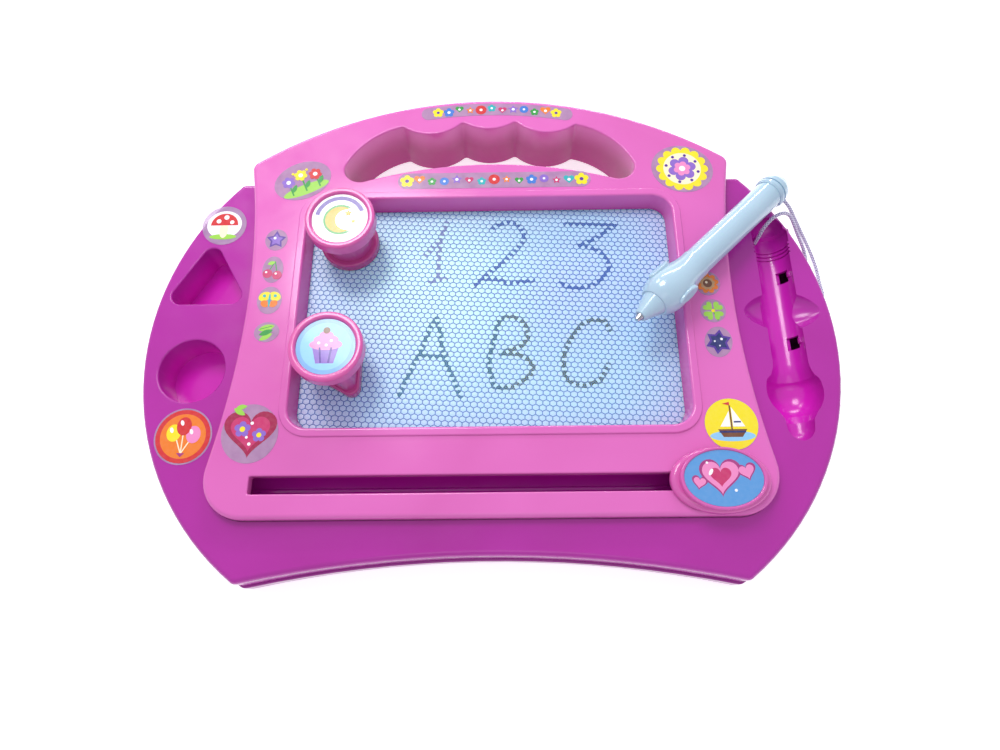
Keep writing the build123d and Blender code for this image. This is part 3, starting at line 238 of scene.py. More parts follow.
def clear_vinyl(name, main, alpha):
    """The translucent carrier of a sticker."""
    surface = Surface(name, 0.16, 0.4, 0.05, alpha=alpha)
    colour = surface.ramp(surface.noise(160.0, 3.0), ((0.3, linear(main)), (0.7, linear("dcbce0"))))
    surface.link(colour, "Base Color")
    surface.bump(surface.noise(300.0, 2.0), 0.08, 0.05 * MM)
    return surface.material


def metal(name, main, roughness):
    """Turned or plated steel with fine marks."""
    surface = Surface(name, roughness, metallic=1.0)
    colour = surface.ramp(surface.noise(600.0, 3.0), ((0.3, linear(main)), (0.7, linear("e3e4e8"))))
    surface.link(colour, "Base Color")
    surface.link(surface.spread(surface.noise(900.0, 3.0), roughness - 0.06, roughness + 0.1), "Roughness")
    surface.bump(surface.noise(1200.0, 2.0), 0.15, 0.02 * MM)
    return surface.material


def matte(name, main, shade, roughness):
    """Plain moulding or rubber with a dull, grainy skin."""
    surface = Surface(name, roughness)
    colour = surface.ramp(surface.noise(500.0, 3.0), ((0.3, linear(shade)), (0.7, linear(main))))
    surface.link(colour, "Base Color")
    surface.bump(surface.noise(1000.0, 3.0), 0.2, 0.05 * MM)
    return surface.material


# Painted light in the hollows, each a tone and the heights where it fades into the main colour: painted shade
# low on the frame's walls and on the stamps' necks, and painted bounced light, a brighter saturated magenta,
# in the tray's hollows
frame_painted_shade = ("b00080", 15 * MM, 35 * MM)
tray_painted_bounce = ("de1ac4", 12 * MM, 28.5 * MM)
stamp_painted_shade = ("b43a84", 24 * MM, 54 * MM)
frame_plastic = moulded("frame_plastic", "e26ec0", "d864b4", roughness=0.17, coat=0.25, painted_hollow_light=frame_painted_shade)
tray_plastic = moulded(
    "tray_plastic",
    "b626a4",
    "aa2096",
    roughness=0.2,
    coat=0.2,
    painted_hollow_light=tray_painted_bounce,
    inside_only=True,
)
shell_plastic = moulded("shell_plastic", "a01e92", "961a86", roughness=0.22, coat=0.25)
stamp_plastic = moulded("stamp_plastic", "e060ae", "d856a4", roughness=0.15, coat=0.5, painted_hollow_light=stamp_painted_shade)
knob_plastic = moulded("knob_plastic", "d860b0", "d056a4", roughness=0.14, coat=0.5)
pen_plastic = moulded("pen_plastic", "b6d2e2", "a6c6d8", roughness=0.14, coat=0.6)
carriage_plastic = matte("carriage_plastic", "b83fa8", "ab389c", roughness=0.4)
retainer_plastic = matte("retainer_plastic", "b23fa4", "a53898", roughness=0.45)
magnet_rubber = matte("magnet_rubber", "3a3839", "292829", roughness=0.7)
seal_compound = matte("seal_compound", "e8e8ec", "d9d9de", roughness=0.5)
screw_steel = metal("screw_steel", "a9abb0", roughness=0.3)
tip_steel = metal("tip_steel", "8f9298", roughness=0.2)
sticker_vinyl = clear_vinyl("sticker_vinyl", "c9a3cf", alpha=0.55)
white_paper = printed("white_paper", "f4f6fa", roughness=0.14)
pale_blue_paper = printed("pale_blue_paper", "7fb4e6", roughness=0.16)
knob_blue_paper = printed("knob_blue_paper", "5a9bd8", roughness=0.16)

inks = {
    "red": "d32a2e",
    "rose": "c92f6b",
    "crimson": "a3164a",
    "orange": "ee7d1f",
    "yellow": "f6e31c",
    "gold": "c9a800",
    "lime": "9bd64a",
    "green": "2f9a3d",
    "teal": "27b0b5",
    "sky": "8fcdf2",
    "blue": "3b78cf",
    "navy": "232c6e",
    "purple": "8c66c6",
    "violet": "55309b",
    "pink": "f08cc4",
    "white": "fbfbff",
    "cream": "fff0cc",
    "brown": "74452a",
    "tan": "caa06e",
    "plum": "a8347f",
}
inks = {name: printed("ink_" + name, value) for name, value in inks.items()}


# Screen: walls, fluid, film and powder
# Painted light on the fluid: a greenish-white painted glare round one place, and a painted lilac shade
# towards the edges
glare_middle = (-25 * MM, 20 * MM, 23 * MM)
glare_reach = (0.0, 75 * MM)
lilac_shade_middle = (0.0, 3 * MM, 23 * MM)
lilac_shade_reach = (85 * MM, 135 * MM)
powder_change = (3 * MM, 13 * MM)


def core_wall_material():
    """The honeycomb's thin walls, seen through the film."""
    surface = Surface("cell_wall", 0.45)
    colour = surface.ramp(surface.noise(9.0, 2.0), ((0.35, linear("5272c2")), (0.65, linear("6890ca"))))
    surface.link(colour, "Base Color")
    surface.bump(surface.noise(2500.0, 2.0), 0.1, 0.03 * MM)
    return surface.material


def fluid_material():
    """Pale opaque fluid with a painted greenish-white glare near the middle and a painted lilac shade towards
    the edges.
    """
    surface = Surface("cell_fluid", 0.35, 0.15, 0.2)
    stops = ((0.32, linear("c6dffc")), (0.5, linear("c2e6fc")), (0.68, linear("c4eafc")))
    colour = surface.ramp(surface.noise(7.0, 1.0), stops)
    painted_glare_share = surface.share(surface.distance(glare_middle), *glare_reach)
    colour = surface.mix(painted_glare_share, linear("ccfaf0"), colour)
    painted_lilac_shade_share = surface.share(surface.distance(lilac_shade_middle), *lilac_shade_reach)
    colour = surface.mix(painted_lilac_shade_share, colour, linear("dae0fe"))
    surface.link(colour, "Base Color")
    surface.set("Subsurface Weight", 0.1)
    surface.set("Subsurface Scale", 0.8 * MM)
    surface.bump(surface.noise(700.0, 2.0), 0.12, 0.06 * MM)
    return surface.material


def film_material():
    """Clear film over the cells, with a soft sheen."""
    surface = Surface("screen_film", 0.14, alpha=0.03)
    colour = surface.ramp(surface.noise(30.0, 2.0), ((0.3, linear("a8d0fa")), (0.7, linear("b8defe"))))
    surface.link(colour, "Base Color")
    surface.bump(surface.noise(60.0, 2.0), 0.1, 0.1 * MM)
    return surface.material


def powder_material(name, tones):
    """Iron powder with a grain of dark and pale; a second pair of tones takes over to the right."""
    surface = Surface(name, 0.6)
    grain = surface.noise(900.0, 3.0)
    colours = [surface.ramp(grain, ((0.35, linear(dark)), (0.7, linear(pale)))) for dark, pale in tones]
    colour = colours[0]
    for other in colours[1:]:
        colour = surface.mix(surface.share(surface.along_axis("X"), *powder_change), colour, other)
    surface.link(colour, "Base Color")
    surface.bump(surface.noise(3000.0, 2.0), 0.3, 0.04 * MM)
    return surface.material


def cord_material(name, shade, main):
    """Braided cord with a faint lilac tint; the darker colours given for the core are painted shade between
    its fibres.
    """
    surface = Surface(name, 0.7)
    colour = surface.ramp(surface.noise(900.0, 3.0), ((0.3, linear(shade)), (0.7, linear(main))))
    surface.link(colour, "Base Color")
    surface.set("Sheen Weight", 0.3)
    surface.bump(surface.noise(4000.0, 3.0), 0.4, 0.08 * MM)
    return surface.material


# The core's darker lilac grey, seen between the yarns, is painted shade
cord_core_painted_shade = cord_material("cord_core_painted_shade", "8f88b4", "aaa4c8")
cord_yarn = cord_material("cord_yarn", "dcd6f0", "fbf9ff")
materials_of_nodes = {
    "lower_shell": shell_plastic,
    "base_tray": tray_plastic,
    "top_frame": frame_plastic,
    "screen_front_sheet": film_material(),
    "screen_back_sheet": seal_compound,
    "honeycomb_core": seal_compound,
    "core_seal_rim": seal_compound,
    "screen_retainer": retainer_plastic,
    "case_screws": screw_steel,
    "frame_screws": screw_steel,
    "retainer_screws": screw_steel,
    "knob_screw": screw_steel,
    "frame_labels": sticker_vinyl,
    "tray_labels": sticker_vinyl,
    "slider_knob": knob_plastic,
    "knob_label": knob_blue_paper,
    "eraser_carriage": carriage_plastic,
    "eraser_magnet_strip": magnet_rubber,
    "round_stamp_body": stamp_plastic,
    "round_stamp_label": white_paper,
    "round_stamp_magnet": magnet_rubber,
    "triangle_stamp_body": stamp_plastic,
    "triangle_stamp_label": pale_blue_paper,
    "triangle_stamp_magnet": magnet_rubber,
    "pen_tip_magnet": tip_steel,
    "pen_nose": pen_plastic,
    "pen_grip": pen_plastic,
    "pen_barrel": pen_plastic,
    "pen_end_cap": pen_plastic,
    "pen_cord_knot": cord_yarn,
    "anchor_knot": cord_yarn,
    "tether_cord": cord_yarn,
}
for name, material in materials_of_nodes.items():
    for slot in nodes[name].material_slots:
        slot.material = material


def new_piece(name, mesh, body, materials=()):
    """A scene object from a mesh that rides on a body and takes the materials given."""
    piece = bpy.data.objects.new(name, mesh)
    bpy.context.scene.collection.objects.link(piece)
    for material in materials:
        piece.data.materials.append(material)
    if body:
        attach(piece, body)
    return piece


def mesh_from(maker, name, smooth=False):
    """A mesh that a bmesh filled."""
    mesh = bpy.data.meshes.new(name)
    maker.to_mesh(mesh)
    maker.free()
    for face in mesh.polygons:
        face.use_smooth = smooth
    return mesh


# Honeycomb cells
def cell_centres():
    """Centres of the cells whose middle lies in the core, in rows that lean a little."""
    turn = Matrix.Rotation(cell_turn, 2)
    reach = (core_high - core_low).xy.length / 2
    rows = ceil(reach / row_pitch)
    columns = ceil(reach / cell_pitch)
    for row in range(-rows, rows + 1):
        for column in range(-columns, columns + 1):
            point = Vector(((column + row % 2 / 2) * cell_pitch, row * row_pitch))
            point = turn @ point + cell_middle
            if core_low.x < point.x < core_high.x and core_low.y < point.y < core_high.y:
                yield point


def cell_corners(centre, scale):
    """The six corners of a cell, kept inside the core."""
    turn = Matrix.Rotation(cell_turn, 2)
    height = row_pitch * 4 / 3
    shares = ((0, 0.5), (-0.5, 0.25), (-0.5, -0.25), (0, -0.5), (0.5, -0.25), (0.5, 0.25))
    corners = []
    for across, up in shares:
        point = centre + turn @ Vector((across * cell_pitch, up * height)) * scale
        point.x = min(max(point.x, core_low.x), core_high.x)
        point.y = min(max(point.y, core_low.y), core_high.y)
        corners.append(point)
    return corners


def ring_of(maker, points, height):
    return [maker.verts.new((p.x, p.y, height)) for p in points]


def join_rings(maker, outer, inner, index=0):
    """Quads between two closed rings of as many corners."""
    count = len(outer)
    for i in range(count):
        j = (i + 1) % count
        maker.faces.new((outer[i], outer[j], inner[j], inner[i])).material_index = index


walls = bmesh.new()
fluid = bmesh.new()
centres = list(cell_centres())
for centre in centres:
    outer = ring_of(walls, cell_corners(centre, 1.0), wall_top)
    lip = ring_of(walls, cell_corners(centre, cell_inset), wall_top)
    floor_ring = ring_of(walls, cell_corners(centre, cell_inset), wall_top - cell_depth)
    join_rings(walls, outer, lip)
    join_rings(walls, lip, floor_ring)
    walls.faces.new(floor_ring)
    edge = ring_of(fluid, cell_corners(centre, cell_inset), fluid_top - fluid_crown)
    shoulder_corners = cell_corners(centre, cell_inset * fluid_shoulder)
    shoulder = ring_of(fluid, shoulder_corners, fluid_top - fluid_crown / 4)
    middle = fluid.verts.new((centre.x, centre.y, fluid_top))
    join_rings(fluid, edge, shoulder)
    for i in range(6):
        fluid.faces.new((shoulder[i], shoulder[(i + 1) % 6], middle))
base = [core_low.xy, Vector((core_high.x, core_low.y)), core_high.xy, Vector((core_low.x, core_high.y))]
base_low = ring_of(walls, base, core_low.z)
base_top = ring_of(walls, base, wall_top - cell_depth)
join_rings(walls, base_low, base_top)
walls.faces.new(base_low[::-1])
walls.faces.new(base_top)
mesh = mesh_from(walls, "honeycomb_walls")
honeycomb_walls = new_piece("honeycomb_walls", mesh, "board", [core_wall_material()])
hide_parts("honeycomb_core")
new_piece("cell_fluid", mesh_from(fluid, "cell_fluid", True), "board", [fluid_material()])


# Strokes drawn on the screen: points in millimetres, one line of points for each stroke
strokes = {
    "one": (
        ((-26.2, 63.9), (-27.7, 59.1), (-29.9, 51.9), (-30.4, 43.1), (-30.5, 34.4), (-30.5, 25.8)),
        ((-29.9, 51.9), (-33.9, 47.3), (-38.4, 41.5)),
        ((-35.3, 24.2), (-30.8, 25.3), (-26.5, 25.8)),
    ),
    "two": (
        ((1.3, 58.6), (3.9, 61.6), (11.2, 63.9), (16.4, 62.6), (20.8, 56.5), (20.4, 51.2), (15.6, 44.8)),
        ((15.6, 44.8), (8.4, 36.7), (1.7, 31.6), (-4.4, 25.5), (-9.4, 21.0)),
        ((-1.9, 25.4), (4.7, 25.3), (9.7, 22.4), (15.8, 22.9), (24.9, 24.2)),
    ),
    "three": (
        ((46.1, 61.9), (75.9, 60.9)),
        ((75.9, 60.9), (63.4, 51.8), (52.9, 46.8)),
        ((52.9, 46.8), (58.9, 46.2), (65.2, 43.1), (69.1, 37.9), (70.6, 32.3), (68.9, 28.9)),
        ((68.9, 28.9), (65.2, 24.0), (59.8, 20.3), (52.3, 18.7), (45.3, 19.7), (41.6, 21.8)),
    ),
    "a": (
        ((-30.8, 0.4), (-35.0, -6.8), (-37.4, -14.8), (-40.6, -23.1), (-44.6, -31.3), (-50.4, -45.7)),
        ((-30.8, 0.4), (-28.4, -8.3), (-27.8, -14.9), (-26.8, -20.5), (-24.0, -28.8), (-16.5, -46.5)),
        ((-39.7, -21.7), (-34.5, -23.2), (-29.3, -23.3), (-25.0, -22.2)),
    ),
    "b": (
        ((5.3, -0.9), (3.4, -8.1), (1.3, -16.9), (-0.7, -25.5), (-0.2, -33.0), (2.3, -41.4)),
        ((5.3, -0.9), (11.2, 1.3), (17.3, -1.0), (20.8, -5.6), (21.4, -12.2), (18.0, -17.1), (6.4, -21.8)),
        ((6.4, -21.8), (14.4, -21.9), (20.4, -24.7), (24.0, -29.6)),
        ((24.0, -29.6), (23.2, -34.3), (13.1, -41.6), (4.2, -42.0)),
    ),
    "c": (
        ((68.1, -7.9), (65.8, -2.8), (59.8, -1.3), (53.5, -3.8), (48.2, -9.8), (44.3, -16.3), (41.8, -21.7)),
        ((41.8, -21.7), (41.0, -29.2), (42.0, -36.7), (46.8, -40.4)),
        ((46.8, -40.4), (53.1, -41.3), (60.7, -38.5), (66.2, -29.6)),
    ),
}
# Dark and pale tone of each stroke's powder, and of its right part where that differs
powders = {
    "one": [("646ca2", "8c94c6")],
    "two": [("12358e", "2c5cb0")],
    "three": [("0e368e", "285eb2")],
    "a": [("0c5268", "2c7e94")],
    "b": [("0c4c5c", "2c6e78"), ("3e5040", "58684e")],
    "c": [("2c4232", "566a50")],
}
stroke_half_width = 1.8 * MM
near_reach = 1.6 * cell_pitch
touch_reach = stroke_half_width + 0.42 * cell_pitch
powder_lift = 0.03 * MM
powder_gap = 0.01 * MM
rim_parts = 4

# Powder in a cell: how far out and in it reaches, how wide it is, and how ragged its edge is
patch_outer = 0.985
patch_inner = 0.99
patch_width = 0.4
width_ragged = 0.2
full_weight = 1.25
weight_ragged = 0.35
rim_phase = 2.3
phase_along_x = 5.1
phase_along_y = 3.7


def along(points, step=0.5 * MM):
    """Points along a stroke at an even step."""
    result = []
    for a, b in zip(points, points[1:]):
        a, b = Vector(a) * MM, Vector(b) * MM
        count = max(1, round((b - a).length / step))
        result += [a.lerp(b, i / count) for i in range(count)]
    return result + [Vector(points[-1]) * MM]


def powder_patch(maker, centre, path):
    """Powder in one cell: thick where the stroke passes, along the walls, and thin towards the middle."""
    corners = cell_corners(centre, 1.0)
    rim = []
    for a, b in zip(corners, corners[1:] + corners[:1]):
        rim += [a.lerp(b, i / rim_parts) for i in range(rim_parts)]
    outer, inner = [], []
    for i, point in enumerate(rim):
        distance = min((point - step).length for step in path)
        phase = i * rim_phase + centre.x / MM * phase_along_x + centre.y / MM * phase_along_y
        ragged = 0.5 + 0.5 * sin(phase)
        weight = min(max(full_weight - distance / stroke_half_width - weight_ragged * ragged, 0.0), 1.0)
        out_scale = cell_inset + (patch_outer - cell_inset) * weight
        in_scale = cell_inset * (patch_inner - (patch_width + width_ragged * ragged) * weight)
        outer.append(centre + (point - centre) * out_scale)
        inner.append(centre + (point - centre) * in_scale)
    outer_ring = ring_of(maker, outer, core_high.z - powder_gap)
    inner_ring = ring_of(maker, inner, fluid_top + powder_lift)
    join_rings(maker, outer_ring, inner_ring)


for glyph, lines in strokes.items():
    powder = bmesh.new()
    path = [point for line in lines for point in along(line)]
    for centre in centres:
        near = [point for point in path if (point - centre).length < near_reach]
        if near and min((point - centre).length for point in near) < touch_reach:
            powder_patch(powder, centre, near)
    name = "powder_" + glyph
    new_piece(name, mesh_from(powder, name), "board", [powder_material(name, powders[glyph])])


# Flat shapes for the prints, in units of a print's size in millimetres, with angles in degrees
def around(radius, angle):
    return (radius * cos(radians(angle)), radius * sin(radians(angle)))


def disc(radius=1.0, at=(0, 0), points=40):
    turns = [2 * pi * i / points for i in range(points)]
    return [(at[0] + radius * cos(t), at[1] + radius * sin(t)) for t in turns]


def star(radius=1.0, at=(0, 0), tips=5, waist=0.5, turn=90):
    result = []
    for i in range(2 * tips):
        reach = radius if i % 2 == 0 else radius * waist
        angle = radians(turn) + pi * i / tips
        result.append((at[0] + reach * cos(angle), at[1] + reach * sin(angle)))
    return result


def blossom(radius=1.0, at=(0, 0), petals=5, depth=0.3, turn=90, points=12):
    """A flower outline with round petals."""
    result = []
    for i in range(petals * points):
        angle = 2 * pi * i / (petals * points)
        reach = radius * (1 - depth + depth * abs(cos(petals * angle / 2)) ** 0.7)
        angle += radians(turn)
        result.append((at[0] + reach * cos(angle), at[1] + reach * sin(angle)))
    return result


def heart(size=1.0, at=(0, 0), turn=0, points=44):
    result = []
    for i in range(points):
        t = 2 * pi * i / points
        x = 16 * sin(t) ** 3 / 17
        y = (13 * cos(t) - 5 * cos(2 * t) - 2 * cos(3 * t) - cos(4 * t) + 2.5) / 17
        c, s = cos(radians(turn)), sin(radians(turn))
        result.append((at[0] + size * (c * x - s * y), at[1] + size * (s * x + c * y)))
    return result


def leaf(length=1.0, width=0.4, at=(0, 0), turn=0, points=14):
    """A pointed leaf that starts at a place and grows along an angle."""
    c, s = cos(radians(turn)), sin(radians(turn))
    shares = [i / points for i in range(points + 1)]
    upper = [(length * u, width / 2 * sin(pi * u) ** 0.8) for u in shares]
    lower = [(x, -y) for x, y in upper[-2:0:-1]]
    return [(at[0] + c * x - s * y, at[1] + s * x + c * y) for x, y in upper + lower]


def bar(start, end, width):
    """A straight stem between two points."""
    a, b = Vector(start), Vector(end)
    side = Vector((a.y - b.y, b.x - a.x)).normalized() * width / 2
    return [tuple(a + side), tuple(a - side), tuple(b - side), tuple(b + side)]


def band(radius, width, start, end, at=(0, 0), points=24):
    """Part of a ring between two angles."""
    turns = [radians(start + (end - start) * i / points) for i in range(points + 1)]
    outer = [(at[0] + (radius + width / 2) * cos(t), at[1] + (radius + width / 2) * sin(t)) for t in turns]
    inner = [(at[0] + (radius - width / 2) * cos(t), at[1] + (radius - width / 2) * sin(t)) for t in turns]
    return outer + inner[::-1]


def moon(radius=1.0, at=(0, 0), points=24):
    """A crescent that opens to the right; its tips lie 50 degrees above and below that."""
    tip = 50
    hollow_tip = 75.9
    hollow_at = 0.45
    hollow = 0.79
    outer = [radians(tip + (360 - 2 * tip) * i / points) for i in range(points + 1)]
    inner = [radians(360 - hollow_tip - (360 - 2 * hollow_tip) * i / points) for i in range(1, points)]
    result = [(cos(t), sin(t)) for t in outer]
    result += [(hollow_at + hollow * cos(t), hollow * sin(t)) for t in inner]
    return [(at[0] + radius * x, at[1] + radius * y) for x, y in result]


def oval(width, height, at=(0, 0), turn=0, points=36):
    c, s = cos(radians(turn)), sin(radians(turn))
    pairs = [(width * cos(2 * pi * i / points), height * sin(2 * pi * i / points)) for i in range(points)]
    return [(at[0] + c * x - s * y, at[1] + s * x + c * y) for x, y in pairs]


def print_layers(name, body, levels, place, height, size=1.0, turn=0.0):
    """Thin layers of ink, each a colour and its outlines, on a flat face; a list of them shares one level."""
    maker = bmesh.new()
    used = []
    where = Matrix.Translation(Vector((place[0], place[1], 0)) * MM) @ Matrix.Rotation(radians(turn), 4, "Z")
    layers = []
    for step, level in enumerate(levels):
        layers += [(step, *layer) for layer in (level if isinstance(level, list) else [level])]
    for step, ink, outlines in layers:
        if ink not in used:
            used.append(ink)
        top = height + step * print_step + print_thickness
        for outline in outlines:
            top += outline_step
            points = [(where @ Vector((x * size * MM, y * size * MM, 0))).xy for x, y in outline]
            low = ring_of(maker, points, height)
            high = ring_of(maker, points, top)
            join_rings(maker, low, high, used.index(ink))
            maker.faces.new(high).material_index = used.index(ink)
    maker.normal_update()
    bmesh.ops.triangulate(maker, faces=[face for face in maker.faces if len(face.verts) > 4])
    bmesh.ops.recalc_face_normals(maker, faces=maker.faces)
    new_piece(name, mesh_from(maker, name), body, [inks[ink] for ink in used])


# Stickers on the frame and the tray
def tulip(x, ink, tall=0.4):
    """The layers of one flower on its stem."""
    return [
        ("green", [bar((x, -0.6), (x, tall - 0.25), 0.07), leaf(0.45, 0.2, (x, -0.45), 50)]),
        (ink, [blossom(0.3, (x, tall), 6, 0.28)]),
        ("white", [disc(0.1, (x, tall))]),
    ]


print_layers(
    "sticker_flower_bed",
    "board",
    [("lime", [oval(1.05, 0.26, (0, -0.5))])]
    + tulip(-0.62, "purple", 0.15)
    + tulip(0.0, "yellow", 0.3)
    + tulip(0.62, "red", 0.1)
    + [("yellow", [disc(0.06, (-0.3, 0.5)), disc(0.06, (0.34, 0.48))])],
    (-112.7, 87.4),
    on_frame,
    size=13.5,
    turn=24,
)
print_layers(
    "sticker_sunflower",
    "board",
    [
        ("yellow", [blossom(1.0, petals=14, depth=0.16)]),
        ("cream", [disc(0.72)]),
        ("purple", [blossom(0.55, petals=6, depth=0.3)]),
        ("pink", [blossom(0.33, petals=6, depth=0.25)]),
        ("white", [disc(0.12)]),
        ("violet", [disc(0.06, around(0.62, angle)) for angle in range(0, 360, 45)]),
    ],
    (116.4, 92.0),
    on_frame,
    size=15.6,
    turn=-14,
)
print_layers(
    "sticker_violet_star",
    "board",
    [
        ("violet", [star(1.0, waist=0.55)]),
        ("purple", [star(0.68, waist=0.55)]),
        ("white", [disc(0.14, (-0.15, 0.2))]),
    ],
    (-124.4, 46.5),
    on_frame,
    size=6.0,
)
print_layers(
    "sticker_cherries",
    "board",
    [
        ("green", [bar((-0.4, -0.3), (0.15, 0.8), 0.09), bar((0.42, -0.45), (0.15, 0.8), 0.09)]),
        ("lime", [leaf(0.7, 0.36, (0.15, 0.75), 200)]),
        ("rose", [disc(0.42, (-0.42, -0.4)), disc(0.42, (0.42, -0.55))]),
        ("white", [disc(0.1, (-0.55, -0.25)), disc(0.1, (0.3, -0.4))]),
    ],
    (-124.4, 27.0),
    on_frame,
    size=6.6,
)
print_layers(
    "sticker_butterfly",
    "board",
    [
        ("yellow", [oval(0.52, 0.4, (-0.42, 0.35), 30), oval(0.52, 0.4, (0.42, 0.35), -30)]),
        ("orange", [oval(0.36, 0.3, (-0.36, -0.32), -35), oval(0.36, 0.3, (0.36, -0.32), 35)]),
        ("teal", [oval(0.1, 0.62, (0, 0)), disc(0.14, (-0.45, 0.4)), disc(0.14, (0.45, 0.4))]),
    ],
    (-124.2, 7.5),
    on_frame,
    size=6.8,
)
print_layers(
    "sticker_leaves",
    "board",
    [
        ("lime", [leaf(1.5, 0.62, (-0.75, 0.3), 8), leaf(1.3, 0.5, (-0.7, -0.7), 22)]),
        ("green", [leaf(1.3, 0.5, (-0.7, -0.2), 14), bar((-0.6, 0.36), (0.5, 0.5), 0.06)]),
    ],
    (-123.6, -12.0),
    on_frame,
    size=6.2,
    turn=8,
)
print_layers(
    "sticker_marigold",
    "board",
    [
        ("orange", [blossom(1.0, petals=9, depth=0.25)]),
        ("tan", [blossom(0.66, petals=9, depth=0.2)]),
        ("brown", [disc(0.4)]),
        ("cream", [disc(0.12, (-0.1, 0.1))]),
    ],
    (123.0, 14.6),
    on_frame,
    size=6.3,
)
print_layers(
    "sticker_clover",
    "board",
    [
        ("green", [bar((0, 0), (0.35, -0.95), 0.12)]),
        ("lime", [heart(0.5, around(0.5, angle), angle - 90) for angle in (45, 135, 225, 315)]),
        ("yellow", [disc(0.16)]),
    ],
    (124.2, -2.4),
    on_frame,
    size=6.2,
)
print_layers(
    "sticker_night_star",
    "board",
    [
        ("violet", [star(1.0, tips=6, waist=0.62)]),
        ("navy", [star(0.74, tips=6, waist=0.62)]),
        ("white", [disc(0.1, (0.2, 0.25)), disc(0.07, (-0.28, 0.0)), disc(0.06, (0.12, -0.3))]),
    ],
    (125.0, -21.0),
    on_frame,
    size=7.4,
    turn=-10,
)
print_layers(
    "sticker_big_heart",
    "board",
    [
        ("crimson", [heart(1.02)]),
        ("rose", [heart(0.76, (0, 0.02))]),
        ("purple", [blossom(0.3, (-0.28, 0.2)), blossom(0.26, (0.34, -0.02), turn=20)]),
        ("yellow", [disc(0.1, (-0.28, 0.2)), disc(0.09, (0.34, -0.02))]),
        ("lime", [leaf(0.5, 0.2, (-0.68, 0.98), -30), leaf(0.4, 0.18, (-0.6, 1.0), 10)]),
        ("white", [disc(0.06, (0.02, -0.35)), disc(0.06, (0.05, 0.42)), disc(0.05, (-0.1, -0.1))]),
    ],
    (-126.0, -70.4),
    on_frame,
    size=14.6,
)
boat_hull = [(-0.52, -0.2), (0.56, -0.2), (0.36, -0.5), (-0.34, -0.5)]
boat_sails = [
    [(0.05, -0.1), (0.5, -0.1), (0.05, 0.66)],
    [(-0.05, -0.1), (-0.42, -0.1), (-0.05, 0.5)],
]
print_layers(
    "sticker_sailing_boat",
    "board",
    [
        ("yellow", [disc(0.99)]),
        ("sky", [oval(0.84, 0.2, (0, -0.46))]),
        ("brown", [boat_hull, bar((0, -0.2), (0, 0.72), 0.06)]),
        ("white", boat_sails),
        ("navy", [bar((-0.48, -0.3), (0.5, -0.3), 0.07), bar((0.09, 0.08), (0.36, 0.08), 0.06)]),
        ("red", [[(0, 0.72), (0, 0.86), (-0.26, 0.79)]]),
    ],
    (126.2, -67.4),
    on_frame,
    size=14.0,
)
print_layers(
    "sticker_toadstool",
    "board",
    [
        ("white", [oval(0.8, 0.72, (0, 0.04))]),
        ("lime", [oval(0.62, 0.14, (0, -0.6))]),
        ("cream", [oval(0.2, 0.42, (0, -0.24))]),
        ("red", [band(0.32, 0.62, 0, 180, (0, 0.0))]),
        ("white", [disc(0.11, (-0.28, 0.22)), disc(0.12, (0.06, 0.42)), disc(0.1, (0.34, 0.16))]),
    ],
    (-159.2, 60.6),
    on_tray,
    size=13.0,
)
print_layers(
    "sticker_balloons",
    "board",
    [
        ("red", [disc(0.96)]),
        ("orange", [disc(0.8)]),
        ("cream", [bar(start, (0, -0.62), 0.04) for start in ((-0.3, 0.1), (0.34, 0.0), (0, 0.3))]),
        ("yellow", [oval(0.25, 0.31, (-0.34, 0.12))]),
        ("pink", [oval(0.25, 0.31, (0.36, 0.06))]),
        ("red", [oval(0.26, 0.33, (0.0, 0.36))]),
        ("white", [oval(0.06, 0.1, place, 20) for place in ((-0.42, 0.22), (0.28, 0.16), (-0.08, 0.48))]),
        ("plum", [[(-0.14, -0.6), (0.14, -0.6), (0.0, -0.74)]]),
    ],
    (-164.1, -69.4),
    on_tray,
    size=15.3,
)


# Rows of small motifs on the strip between the screen and the grip, and on the arc along the handle
row_inks = ("red", "orange", "green", "blue", "purple", "rose", "teal")
row_shapes = (star, heart, blossom, disc)
row_large = 1.15
row_small = 0.92
row_middle = 0.28


def row_levels(places, end_size, size):
    """Small motifs at given places, each a shape with a pale middle, and a larger flower at each end."""
    shapes, middles = [], []
    for i, place in enumerate(places):
        at_end = i in (0, len(places) - 1)
        reach = end_size if at_end else size * (row_large if i % 3 == 1 else row_small)
        shape = blossom if at_end else row_shapes[i % len(row_shapes)]
        shapes.append(("yellow" if at_end else row_inks[i % len(row_inks)], [shape(reach, place)]))
        middles.append(("violet" if at_end else "white", [disc(reach * row_middle, place)]))
    return [shapes, middles]


strip_middle = (3.0, 85.8)
strip_half = 52.5
strip_count = 15
strip_wave = 0.8
strip_wave_step = 1.9
strip_places = []
for i in range(strip_count):
    x = -strip_half + 2 * strip_half * i / (strip_count - 1)
    at_end = i in (0, strip_count - 1)
    strip_places.append((x, 0.0 if at_end else strip_wave * sin(i * strip_wave_step)))
strip_levels = row_levels(strip_places, end_size=4.3, size=3.0)
print_layers("strip_motifs", "board", strip_levels, strip_middle, on_frame)

arc_centre = (0.0, -103.0)
arc_radius = 241.6
arc_start = 80.0
arc_end = 97.6
arc_count = 12
arc_wave = 0.9
arc_wave_step = 2.3
arc_places = []
for i in range(arc_count):
    at_end = i in (0, arc_count - 1)
    reach = arc_radius + (0.0 if at_end else arc_wave * sin(i * arc_wave_step))
    arc_places.append(around(reach, arc_start + (arc_end - arc_start) * i / (arc_count - 1)))
arc_levels = row_levels(arc_places, end_size=3.5, size=3.0)
print_layers("arc_motifs", "board", arc_levels, arc_centre, on_frame)

